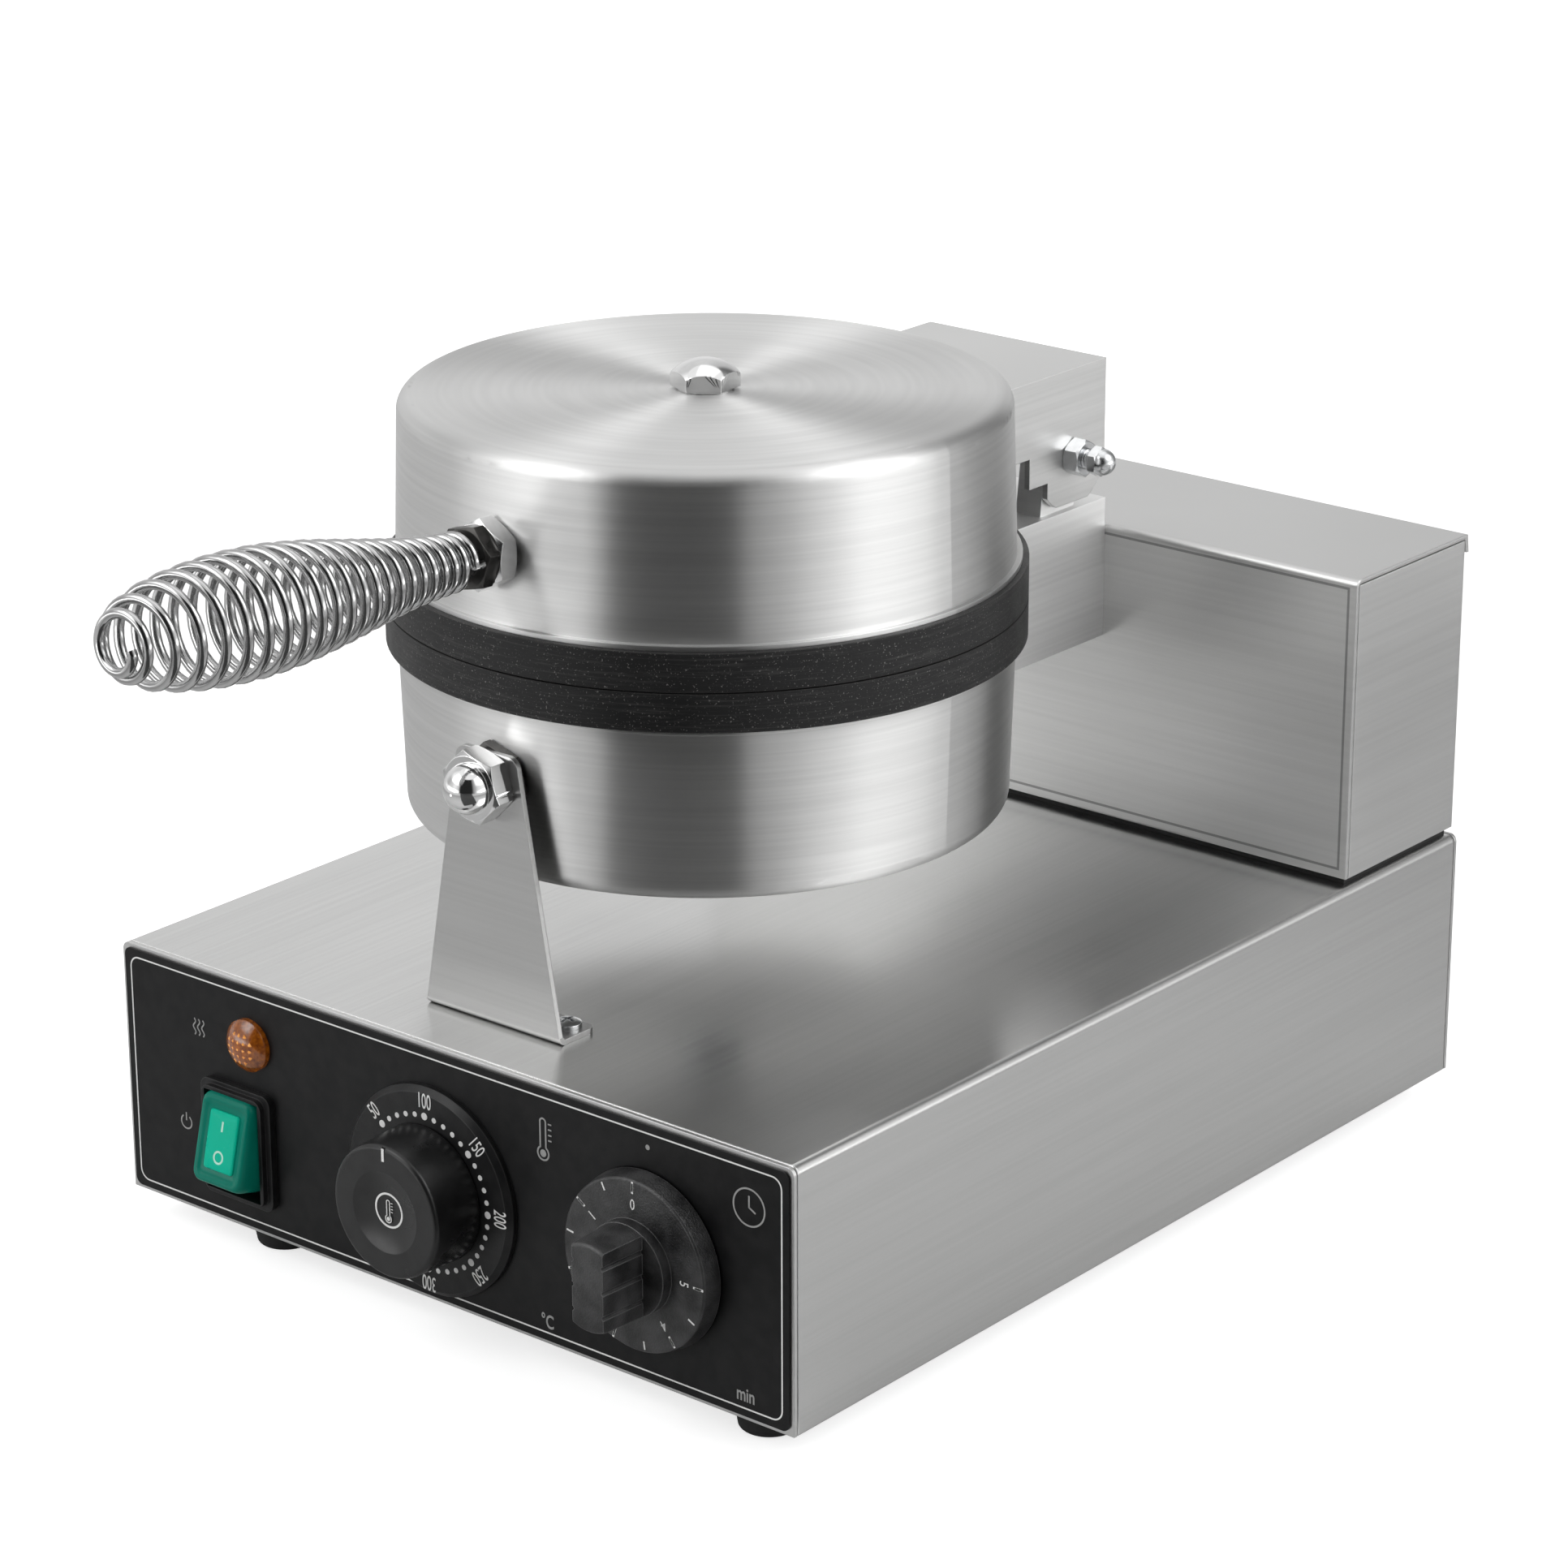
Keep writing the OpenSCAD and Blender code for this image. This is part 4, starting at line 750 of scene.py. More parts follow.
class Finishes:
    """Every finish of the machine, built once."""

    def __init__(self) -> None:
        """Build the finishes by the name of the slot that they fill."""
        self.base_steel = SteelFinish("sheet_brushed_lengthwise", roughness=0.21,
                                      edge_radius=0.9 * MM, edge_light=1.5).build()
        self.cross_steel = SteelFinish("sheet_brushed_crosswise", grain=Grain.ALONG_X,
                                       grain_depth=0.0001 * MM, roughness=0.33,
                                       play=0.04, edge_light=1.0).build()
        self.level_steel = SteelFinish("sheet_brushed_level", grain=Grain.LEVEL,
                                       roughness=0.33, play=0.04,
                                       grain_depth=0.0001 * MM,
                                       edge_radius=0.8 * MM, edge_light=1.3,
                                       fold_node="housing_cover").build()
        # A darker copy of the crosswise steel for the bracket: painted shade
        self.bracket_steel = SteelFinish("bracket_crosswise_painted_shade", grain=Grain.ALONG_X,
                                         tint=(0.50, 0.50, 0.496), roughness=0.33,
                                         play=0.04, grain_depth=0.0001 * MM,
                                         edge_light=1.5).build()
        self.hinge_steel = SteelFinish("hinge_brushed_steel", grain=Grain.LEVEL,
                                       tint=(0.68, 0.68, 0.675), roughness=0.42,
                                       streaks=0.05).build()
        # A paler copy of the level steel for the hinge block: painted light
        self.block_steel = SteelFinish("block_steel_painted_light", grain=Grain.LEVEL,
                                       tint=(0.88, 0.88, 0.875), roughness=0.5).build()
        self.shell_steel = SteelFinish("spun_shell_steel", tint=(0.70, 0.70, 0.695),
                                       grain=Grain.ROUND, roughness=0.38, play=0.04,
                                       streaks=0.05, anisotropy=0.95,
                                       grain_depth=0.0012 * MM).build()
        self.wire_steel = SteelFinish("drawn_wire_steel", tint=(0.50, 0.50, 0.50),
                                      roughness=0.13, grain=Grain.NONE, streaks=0.06,
                                      patch=20 * MM, edge_radius=0.1 * MM).build()
        self.chrome = SteelFinish("bright_chrome", tint=(0.80, 0.80, 0.80), roughness=0.10,
                                  play=0.06, grain=Grain.NONE, streaks=0.03,
                                  grain_depth=0.002 * MM, edge_radius=0.25 * MM).build()
        self.zinc = SteelFinish("bright_zinc", tint=(0.68, 0.69, 0.70), roughness=0.20,
                                play=0.12, grain=Grain.NONE, streaks=0.08,
                                patch=9 * MM).build()
        self.slots = {
            "stainless_sheet": self.cross_steel,
            "polished_steel": self.chrome,
            "zinc_steel": self.zinc,
            "dark_nut_steel": SteelFinish("blackened_steel", tint=(0.085, 0.083, 0.080),
                                          roughness=0.30, play=0.16, grain=Grain.NONE,
                                          streaks=0.25, patch=6 * MM).build(),
            "plate_iron": CastFinish().build(),
            "element_steel": SteelFinish("heat_darkened_tube", tint=(0.21, 0.17, 0.14),
                                         roughness=0.42, play=0.2, grain=Grain.NONE,
                                         streaks=0.3, patch=14 * MM).build(),
            "black_fascia": MouldedFinish("satin_black_film", (0.0055, 0.0055, 0.006),
                                          (0.03, 0.03, 0.03), gloss=0.22,
                                          grain_size=0.35 * MM, depth=0.004 * MM).build(),
            "black_plastic": MouldedFinish("satin_black_moulding", (0.007, 0.007, 0.0075),
                                           (0.06, 0.06, 0.06), roughness=0.36, gloss=0.3,
                                           depth=0.012 * MM).build(),
            "knob_plastic": MouldedFinish("knob_black_moulding", (0.004, 0.004, 0.0043),
                                          (0.04, 0.04, 0.041), roughness=0.31, gloss=0.5,
                                          grain_size=0.42 * MM, depth=0.006 * MM).build(),
            "black_rubber": MouldedFinish("matt_black_rubber", (0.016, 0.016, 0.016),
                                          (0.045, 0.044, 0.043), roughness=0.68,
                                          grain_size=0.7 * MM, depth=0.02 * MM).build(),
            "wool": MouldedFinish("mineral_wool", (0.72, 0.68, 0.52), (0.85, 0.82, 0.72),
                                  roughness=0.95, grain_size=1.6 * MM, depth=0.6 * MM).build(),
            "thermostat_ceramic": MouldedFinish("tan_phenolic", (0.42, 0.30, 0.18),
                                                (0.55, 0.42, 0.28), roughness=0.5).build(),
            "timer_case": MouldedFinish("grey_timer_moulding", (0.22, 0.22, 0.22),
                                        (0.34, 0.34, 0.34), roughness=0.5).build(),
            "terminal_ceramic": MouldedFinish("glazed_terminal_ceramic", (0.78, 0.75, 0.66),
                                              (0.88, 0.86, 0.80), roughness=0.22,
                                              coat=0.5).build(),
            # The green rocker and its cover carry a painted glow and painted highlights on their
            # edges
            "green_rocker": MouldedFinish("clear_green_moulding", (0.0, 0.42, 0.275),
                                          (0.01, 0.52, 0.37), roughness=0.28, gloss=0.10,
                                          grain_size=1.2 * MM, glow=0.12).build(),
            "green_boot": MouldedFinish("soft_green_cover", (0.0, 0.15, 0.105),
                                        (0.01, 0.30, 0.22), roughness=0.20, gloss=0.14,
                                        grain_size=0.9 * MM, depth=0.006 * MM,
                                        glow=0.10, edge_radius=0.7 * MM).build(),
            # The amber lens carries a faint painted glow
            "amber_lens": LensFinish("clear_amber", (0.42, 0.115, 0.006), (0.16, 0.035, 0.003),
                                     glow=0.10).build(),
        }
        # The skirt's pale edge tone paints highlights on its ridges and rim
        self.skirt = MouldedFinish("sparked_black_moulding", (0.007, 0.007, 0.0075),
                                   (0.22, 0.22, 0.222), roughness=0.38, gloss=0.6,
                                   grain_size=0.55 * MM, depth=0.05 * MM).build()
        # The prisms are a brighter, more glowing copy of the same amber: painted glints
        self.prism = LensFinish("amber_prism_painted_glints", (0.95, 0.50, 0.13), (0.70, 0.24, 0.03),
                                glow=0.35).build()
        self.white_ink = InkFinish("white_ink", (0.86, 0.86, 0.85), (0.66, 0.66, 0.65)).build()
        self.grey_ink = InkFinish("grey_ink", (0.36, 0.36, 0.355), (0.22, 0.22, 0.22)).build()
        self.pale_ink = InkFinish("pale_green_ink", (0.55, 0.85, 0.72), (0.35, 0.70, 0.55)).build()
        self.by_node = {
            "base_shell": self.base_steel,
            "front_bracket": self.bracket_steel,
            "housing_body": self.level_steel,
            "housing_cover": self.level_steel,
            "lower_hinge_block": self.block_steel,
            "upper_hinge_arm": self.hinge_steel,
            "lower_pan_shell": self.shell_steel,
            "timer_knob": self.skirt,
            "upper_pan_shell": self.shell_steel,
        }

    def dress_frame(self) -> None:
        """Give every frame node the finish of its slot, or one of its own."""
        for name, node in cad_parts.items():
            slot = node.data.materials[0].name
            node.data.materials[0] = self.by_node.get(name, self.slots[slot])


# Pieces


def link(obj: bpy.types.Object) -> bpy.types.Object:
    """Put an object into the scene."""
    bpy.context.scene.collection.objects.link(obj)
    return obj


def keep(name: str, shape: bmesh.types.BMesh, place: Matrix) -> bpy.types.Object:
    """Turn a shape into an object of the scene.

    Args:
        name: the name of the object and of its mesh.
        shape: the shape, which is freed.
        place: where it goes.

    Returns:
        The object.
    """
    mesh = bpy.data.meshes.new(name)
    shape.to_mesh(mesh)
    shape.free()
    mesh.transform(place)
    return link(bpy.data.objects.new(name, mesh))


def hand_over(piece: bpy.types.Object, body: Body,
              material: bpy.types.Material | None = None,
              replaced: Sequence[str] = ()) -> bpy.types.Object:
    """Give a piece its body and material, and report it.

    Args:
        piece: the piece, in place.
        body: the body that carries it.
        material: its material, or none to keep what it has.
        replaced: the frame nodes that it stands for.

    Returns:
        The piece.
    """
    if material is not None:
        piece.data.materials.clear()
        piece.data.materials.append(material)
    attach(piece, body.value)
    if replaced:
        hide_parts(*replaced)
    log.info("%s: %d faces on %s", piece.name, len(piece.data.polygons), body.value)
    return piece


def grow(name: str, tree: bpy.types.NodeTree, values: dict[str, object],
         place: Matrix) -> bpy.types.Object:
    """Run a geometry tree and keep its result as a plain mesh.

    Args:
        name: the piece's name.
        tree: the geometry tree.
        values: its inputs by name.
        place: where the result goes.

    Returns:
        The piece, without its modifier.
    """
    holder = link(bpy.data.objects.new(name, bpy.data.meshes.new(name)))
    modifier = holder.modifiers.new("grow", "NODES")
    modifier.node_group = tree
    for item in tree.interface.items_tree:
        if item.in_out == "INPUT" and item.name in values:
            modifier[item.identifier] = values[item.name]
    graph = bpy.context.evaluated_depsgraph_get()
    mesh = bpy.data.meshes.new_from_object(holder.evaluated_get(graph), depsgraph=graph)
    holder.modifiers.clear()
    mesh.transform(place)
    holder.data = mesh
    mesh.name = name
    return holder


def close_tree(graph: Graph, end: bpy.types.Node, geometry: object, finish: object,
               smooth: bool) -> None:
    """End a geometry tree with plain, shaded and dressed geometry.

    Args:
        graph: the tree.
        end: its output node.
        geometry: the geometry so far.
        finish: the material input.
        smooth: whether its faces are shaded smooth.
    """
    real = graph.fill(graph.node("GeometryNodeRealizeInstances"), {"Geometry": geometry})
    shade = graph.fill(graph.node("GeometryNodeSetShadeSmooth"),
                       {"Geometry": real.outputs[0], "Shade Smooth": smooth})
    dressed = graph.fill(graph.node("GeometryNodeSetMaterial"),
                         {"Geometry": shade.outputs[0], "Material": finish})
    graph.feed(end.inputs[0], dressed.outputs[0])


def ring_of_marks(shape: MarkShape) -> bpy.types.NodeTree:
    """Build the tree that repeats a mark round a dial, clockwise from its top.

    Args:
        shape: the outline of one mark.

    Returns:
        The geometry tree.
    """
    inputs = (("Count", INTEGER, 8), ("First Angle", FLOAT, 0.0), ("Step Angle", FLOAT, 0.1),
              ("Radius", FLOAT, 0.02), ("Width", FLOAT, MM), ("Length", FLOAT, MM),
              ("Thickness", FLOAT, 0.0001), ("Finish", FINISH, None))
    graph, start, end = open_group(f"ring_of_{shape.value}s", "GeometryNodeTree", inputs,
                                   (("Geometry", GEOMETRY),))
    given = start.outputs
    index = graph.node("GeometryNodeInputIndex").outputs[0]
    angle = graph.math("MULTIPLY_ADD", index, given["Step Angle"], given["First Angle"])
    spot = graph.join(graph.math("MULTIPLY", graph.math("SINE", angle), given["Radius"]),
                      graph.math("MULTIPLY", graph.math("COSINE", angle), given["Radius"]), 0.0)
    points = graph.fill(graph.node("GeometryNodePoints"),
                        {"Count": given["Count"], "Position": spot})
    if shape is MarkShape.DOT:
        mark = graph.fill(graph.node("GeometryNodeMeshCylinder"),
                          {"Vertices": 14, "Radius": graph.math("MULTIPLY", given["Width"], 0.5),
                           "Depth": given["Thickness"]})
    else:
        size = graph.join(given["Width"], given["Length"], given["Thickness"])
        mark = graph.fill(graph.node("GeometryNodeMeshCube"), {"Size": size})
    turn = graph.fill(graph.node("FunctionNodeEulerToRotation"),
                      {"Euler": graph.join(0.0, 0.0, graph.math("MULTIPLY", angle, -1.0))})
    placed = graph.fill(graph.node("GeometryNodeInstanceOnPoints"),
                        {"Points": points.outputs[0], "Instance": mark.outputs["Mesh"],
                         "Rotation": turn.outputs[0]})
    close_tree(graph, end, placed.outputs[0], given["Finish"], False)
    return graph.tree


class FlatArt:
    """Flat printed art in its own plane, x to the right and y up, gathered in one mesh."""

    arc_step: float = 9.0
    least_steps: int = 8
    weld: float = 0.002 * MM

    def __init__(self, thickness: float = 0.06 * MM) -> None:
        """Start with no art, of this thickness."""
        self.mesh = bmesh.new()
        self.thickness = thickness

    def ribbon(self, points: Sequence[Flat], width: float, closed: bool = False) -> None:
        """Draw a line of even width.

        Args:
            points: the line's points.
            width: its width.
            closed: whether it runs back to its first point.
        """
        count = len(points)
        loops: list[list[bmesh.types.BMVert]] = [[], [], [], []]
        for index, (x, y) in enumerate(points):
            before = points[index - 1] if closed or index > 0 else points[index]
            after = points[(index + 1) % count] if closed or index < count - 1 else points[index]
            along = Vector((after[0] - before[0], after[1] - before[1])).normalized()
            side_x, side_y = -along.y * width / 2, along.x * width / 2
            corners = ((1, 0.0), (-1, 0.0), (-1, self.thickness), (1, self.thickness))
            for loop, (side, z) in zip(loops, corners):
                loop.append(self.mesh.verts.new((x + side * side_x, y + side * side_y, z)))
        for index in range(count if closed else count - 1):
            following = (index + 1) % count
            for side in range(4):
                first, second = loops[side], loops[(side + 1) % 4]
                self.mesh.faces.new((first[index], second[index], second[following],
                                     first[following]))
        if not closed:
            for end in (0, count - 1):
                self.mesh.faces.new([loop[end] for loop in loops])

    def arc(self, centre: Flat, radius: float, width: float, start: float = 0.0,
            sweep: float = 360.0) -> None:
        """Draw part of a circle.

        Args:
            centre: its centre.
            radius: its radius.
            width: its line width.
            start: where it starts, in degrees clockwise from the top.
            sweep: how far it runs, in degrees.
        """
        whole = abs(sweep) >= 360.0
        steps = max(self.least_steps, int(abs(sweep) / self.arc_step))
        angles = [math.radians(start + sweep * index / steps)
                  for index in range(steps if whole else steps + 1)]
        points = [(centre[0] + radius * math.sin(angle), centre[1] + radius * math.cos(angle))
                  for angle in angles]
        self.ribbon(points, width, whole)

    def disc(self, centre: Flat, radius: float, sides: int = 20) -> None:
        """Draw a filled circle.

        Args:
            centre: its centre.
            radius: its radius.
            sides: how many sides stand for the circle.
        """
        place = Matrix.Translation((*centre, self.thickness / 2))
        bmesh.ops.create_cone(self.mesh, cap_ends=True, segments=sides, radius1=radius,
                              radius2=radius, depth=self.thickness, matrix=place)

    def letters(self, text: str, height: float, narrow: float, place: Matrix,
                weight: float = 0.004) -> None:
        """Draw digits, centred on their place.

        Args:
            text: what they say.
            height: how tall they are.
            narrow: their width as a share of the font's own.
            place: where they go in the art's plane.
            weight: how much their strokes grow, as a share of their height.
        """
        curve = bpy.data.curves.new("digits", "FONT")
        curve.body = text
        curve.align_x = "CENTER"
        curve.align_y = "CENTER"
        curve.size = height / DIGIT_SHARE
        curve.extrude = self.thickness / 2
        curve.offset = weight * height
        holder = link(bpy.data.objects.new("digits", curve))
        graph = bpy.context.evaluated_depsgraph_get()
        mesh = bpy.data.meshes.new_from_object(holder.evaluated_get(graph), depsgraph=graph)
        lift = Matrix.Translation((0.0, 0.0, self.thickness / 2))
        mesh.transform(place @ lift @ Matrix.Diagonal((narrow, 1.0, 1.0, 1.0)))
        self.mesh.from_mesh(mesh)
        bpy.data.objects.remove(holder)
        bpy.data.curves.remove(curve)
        bpy.data.meshes.remove(mesh)

    def piece(self, name: str, place: Matrix) -> bpy.types.Object:
        """Finish the art as one piece.

        Args:
            name: the piece's name.
            place: where the art's plane goes.

        Returns:
            The piece.
        """
        bmesh.ops.remove_doubles(self.mesh, verts=self.mesh.verts, dist=self.weld)
        bmesh.ops.recalc_face_normals(self.mesh, faces=self.mesh.faces)
        return keep(name, self.mesh, place)


def rounded_rectangle(width: float, height: float, radius: float, steps: int = 6) -> list[Flat]:
    """Lay out a rectangle with round corners.

    Args:
        width: its width.
        height: its height.
        radius: the radius of its corners.
        steps: how many steps each corner has.

    Returns:
        Its points, anticlockwise.
    """
    points = []
    corners = ((1, 1, 0), (-1, 1, 90), (-1, -1, 180), (1, -1, 270))
    for side_x, side_y, start in corners:
        x, y = side_x * (width / 2 - radius), side_y * (height / 2 - radius)
        for step in range(steps + 1):
            angle = math.radians(start + 90 * step / steps)
            points.append((x + radius * math.cos(angle), y + radius * math.sin(angle)))
    return points


def loft(name: str, rings: Sequence[tuple[float, float, float, float]],
         place: Matrix) -> bpy.types.Object:
    """Skin a closed soft form over rounded rectangles.

    Args:
        name: the piece's name.
        rings: width, height, corner radius and level of each, from the back to the front.
        place: where it goes.

    Returns:
        The piece, shaded smooth.
    """
    mesh = bmesh.new()
    loops = []
    for width, height, radius, level in rings:
        loops.append([mesh.verts.new((x, y, level))
                      for x, y in rounded_rectangle(width, height, radius)])
    for lower, upper in zip(loops, loops[1:]):
        for index in range(len(lower)):
            following = (index + 1) % len(lower)
            mesh.faces.new((lower[index], lower[following], upper[following], upper[index]))
    mesh.faces.new(list(reversed(loops[0])))
    mesh.faces.new(loops[-1])
    bmesh.ops.recalc_face_normals(mesh, faces=mesh.faces)
    for face in mesh.faces:
        face.smooth = True
    return keep(name, mesh, place)


@dataclass
class ControlPanel:
    """The black front panel: its printed outline, pictograms and small marks."""

    finishes: Finishes
    # Line widths of the outline, of the signs and of their small ticks
    line: float = 0.45 * MM
    sign_line: float = 0.5 * MM
    fine_line: float = 0.4 * MM
    outline_inset: float = 2.4 * MM
    outline_round: float = 3.2 * MM
    thermometer: Flat = (38.2 * MM, 61.0 * MM)
    clock: Flat = (110.4 * MM, 62.3 * MM)
    clock_radius: float = 5.3 * MM
    heat_sign: Flat = (-94.3 * MM, 58.2 * MM)
    power_sign: Flat = (-101.2 * MM, 27.0 * MM)
    degree_sign: Flat = (38.5 * MM, 6.8 * MM)
    minute_sign: Flat = (108.9 * MM, 7.4 * MM)
    index_dot: Flat = (75.6 * MM, 69.4 * MM)
    index_radius: float = 0.75 * MM

    def place(self, x: float = 0.0, z: float = 0.0, proud: float = 0.0) -> Matrix:
        """Find the plane of art on the panel.

        Args:
            x: the art's origin along the panel.
            z: the art's origin above the floor.
            proud: how far in front of the panel it lies.

        Returns:
            Its placement, with x to the right and y up.
        """
        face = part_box("control_fascia")[0].y
        return Matrix.Translation((x, face - proud, z)) @ Matrix.Rotation(math.pi / 2, 4, "X")

    def build(self) -> None:
        """Print the panel."""
        low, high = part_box("control_fascia")
        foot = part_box("base_plate")[0].z
        outline = FlatArt()
        width = high.x - low.x - 2 * self.outline_inset
        height = high.z - low.z - 2 * self.outline_inset
        outline.ribbon(rounded_rectangle(width, height, self.outline_round), self.line, True)
        centre = middle("control_fascia")
        piece = outline.piece("panel_outline", self.place(centre.x, centre.z))
        hand_over(piece, Body.BASE, self.finishes.white_ink)
        signs = FlatArt()
        self.draw_thermometer(signs, self.thermometer, 1.0)
        self.draw_clock(signs)
        self.draw_heat(signs)
        self.draw_power(signs)
        self.draw_units(signs)
        signs.disc(self.index_dot, self.index_radius)
        hand_over(signs.piece("panel_signs", self.place(0.0, foot)), Body.BASE,
                  self.finishes.grey_ink)

    def draw_thermometer(self, art: FlatArt, centre: Flat, scale: float) -> None:
        """Draw a thermometer with a short row of ticks.

        Args:
            art: the art to draw in.
            centre: its centre.
            scale: its size as a share of the panel's.
        """
        unit = MM * scale
        width, fine = self.sign_line * scale, self.fine_line * scale
        x, y = centre
        bulb, top = y - 4.0 * unit, y + 5.2 * unit
        art.arc((x, bulb), 2.0 * unit, width, 30.0, 300.0)
        art.disc((x, bulb), 1.1 * unit)
        for side in (-unit, unit):
            art.ribbon([(x + side, y - 2.4 * unit), (x + side, top)], width)
        art.arc((x, top), unit, width, -90.0, 180.0)
        for step in range(4):
            level = y + (5.0 - 1.6 * step) * unit
            art.ribbon([(x + 1.9 * unit, level), (x + 3.1 * unit, level)], fine)

    def draw_clock(self, art: FlatArt) -> None:
        """Draw a clock face with two hands.

        Args:
            art: the art to draw in.
        """
        x, y = self.clock
        art.arc(self.clock, self.clock_radius, self.sign_line)
        art.ribbon([(x, y + 3.3 * MM), (x, y - 0.2 * MM)], self.sign_line)
        art.ribbon([(x, y), (x + 2.2 * MM, y - 1.2 * MM)], self.sign_line)

    def draw_heat(self, art: FlatArt) -> None:
        """Draw three rising waves.

        Args:
            art: the art to draw in.
        """
        x, y = self.heat_sign
        for side in (-1, 0, 1):
            wave = [(x + side * 1.7 * MM + 0.5 * MM * math.sin(step * math.pi / 4),
                     y + (step - 6) * 0.42 * MM) for step in range(13)]
            art.ribbon(wave, self.fine_line)

    def draw_power(self, art: FlatArt) -> None:
        """Draw an open circle with an upright bar.

        Args:
            art: the art to draw in.
        """
        x, y = self.power_sign
        art.arc(self.power_sign, 2.1 * MM, self.line, 35.0, 290.0)
        art.ribbon([(x, y + 0.4 * MM), (x, y + 2.9 * MM)], self.line)

    def draw_units(self, art: FlatArt) -> None:
        """Write the units of the two dials.

        Args:
            art: the art to draw in.
        """
        for text, spot in (("°C", self.degree_sign), ("min", self.minute_sign)):
            art.letters(text, 4.0 * MM, 0.75, Matrix.Translation((*spot, 0.0)), 0.02)


@dataclass
class TemperatureControl:
    """The temperature dial with its numbers, and the dished knob on it."""

    finishes: Finishes
    panel: ControlPanel
    dot_radius: float = 22.9 * MM
    number_radius: float = 27.2 * MM
    number_height: float = 4.5 * MM
    first: int = 50
    last: int = 300
    zero_angle: float = -45.0
    degrees_per_mark: float = 0.9
    ring_radius: float = 4.9 * MM
    dish_depth: float = 2.2 * MM
    sign_rise: float = 0.36 * MM
    index_start: float = 15.2 * MM
    index_end: float = 19.0 * MM

    def build(self) -> None:
        """Print the dial and the knob."""
        centre = middle("temperature_dial")
        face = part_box("control_fascia")[0].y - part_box("temperature_dial")[0].y
        place = self.panel.place(centre.x, centre.z, face)
        dots = ring_of_marks(MarkShape.DOT)
        step = math.radians(10 * self.degrees_per_mark)
        start = math.radians(self.zero_angle)
        shared = {"Radius": self.dot_radius, "Finish": self.finishes.white_ink,
                  "First Angle": start}
        small = {"Count": (self.last - self.first) // 10 + 1, "Step Angle": step,
                 "Width": 1.6 * MM, "Thickness": 0.12 * MM}
        large = {"Count": (self.last - self.first) // 50 + 1, "Step Angle": 5 * step,
                 "Width": 2.2 * MM, "Thickness": 0.16 * MM}
        for name, values in (("dial_dots", small), ("dial_large_dots", large)):
            hand_over(grow(name, dots, shared | values, place), Body.TEMPERATURE)
        numbers = FlatArt()
        for value in range(self.first, self.last + 1, 50):
            angle = self.zero_angle + (value - self.first) * self.degrees_per_mark
            turn = Matrix.Rotation(-math.radians(angle), 4, "Z")
            spot = turn @ Matrix.Translation((0.0, self.number_radius, 0.0))
            numbers.letters(str(value), self.number_height, 0.55, spot)
        hand_over(numbers.piece("dial_numbers", place), Body.TEMPERATURE,
                  self.finishes.white_ink)
        self.print_knob(centre.x, centre.z)

    def print_knob(self, x: float, z: float) -> None:
        """Print the ring, the pictogram and the index line on the knob.

        Args:
            x: the knob's centre along the panel.
            z: its height above the floor.
        """
        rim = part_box("control_fascia")[0].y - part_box("temperature_knob")[0].y
        sign = FlatArt(0.12 * MM)
        sign.arc((0.0, 0.0), self.ring_radius, 0.6 * MM)
        self.panel.draw_thermometer(sign, (-0.3 * MM, -0.4 * MM), 0.55)
        index = FlatArt(0.2 * MM)
        index.ribbon([(0.0, self.index_start), (0.0, self.index_end)], 0.9 * MM)
        for art, name, proud in ((sign, "knob_sign", rim - self.dish_depth + self.sign_rise),
                                 (index, "knob_index", rim - index.thickness / 2)):
            hand_over(art.piece(name, self.panel.place(x, z, proud)), Body.TEMPERATURE,
                      self.finishes.white_ink)


@dataclass
class TimerControl:
    """The timer knob's printed scale."""

    finishes: Finishes
    panel: ControlPanel
    tick_radius: float = 22.6 * MM
    number_radius: float = 17.6 * MM
    minutes: int = 5
    degrees_per_minute: float = -54.0
    skirt_height: float = 6.4 * MM

    def build(self) -> None:
        """Print the scale on the skirt."""
        centre = middle("timer_knob")
        place = self.panel.place(centre.x, centre.z, self.skirt_height)
        ticks = ring_of_marks(MarkShape.TICK)
        step = math.radians(self.degrees_per_minute)
        shared = {"First Angle": 0.0, "Radius": self.tick_radius, "Thickness": 0.12 * MM,
                  "Finish": self.finishes.white_ink}
        halves = {"Count": 2 * self.minutes + 1, "Step Angle": step / 2, "Width": 0.5 * MM,
                  "Length": 2.4 * MM}
        wholes = {"Count": self.minutes + 1, "Step Angle": step, "Width": 0.65 * MM,
                  "Length": 3.4 * MM}
        for name, values in (("timer_half_ticks", halves), ("timer_ticks", wholes)):
            hand_over(grow(name, ticks, shared | values, place), Body.TIMER)
        numbers = FlatArt()
        for value in range(self.minutes + 1):
            turn = Matrix.Rotation(-math.radians(self.degrees_per_minute * value), 4, "Z")
            spot = turn @ Matrix.Translation((0.0, self.number_radius, 0.0))
            numbers.letters(str(value), 3.0 * MM, 0.8, spot)
        hand_over(numbers.piece("timer_numbers", place), Body.TIMER,
                  self.finishes.white_ink)


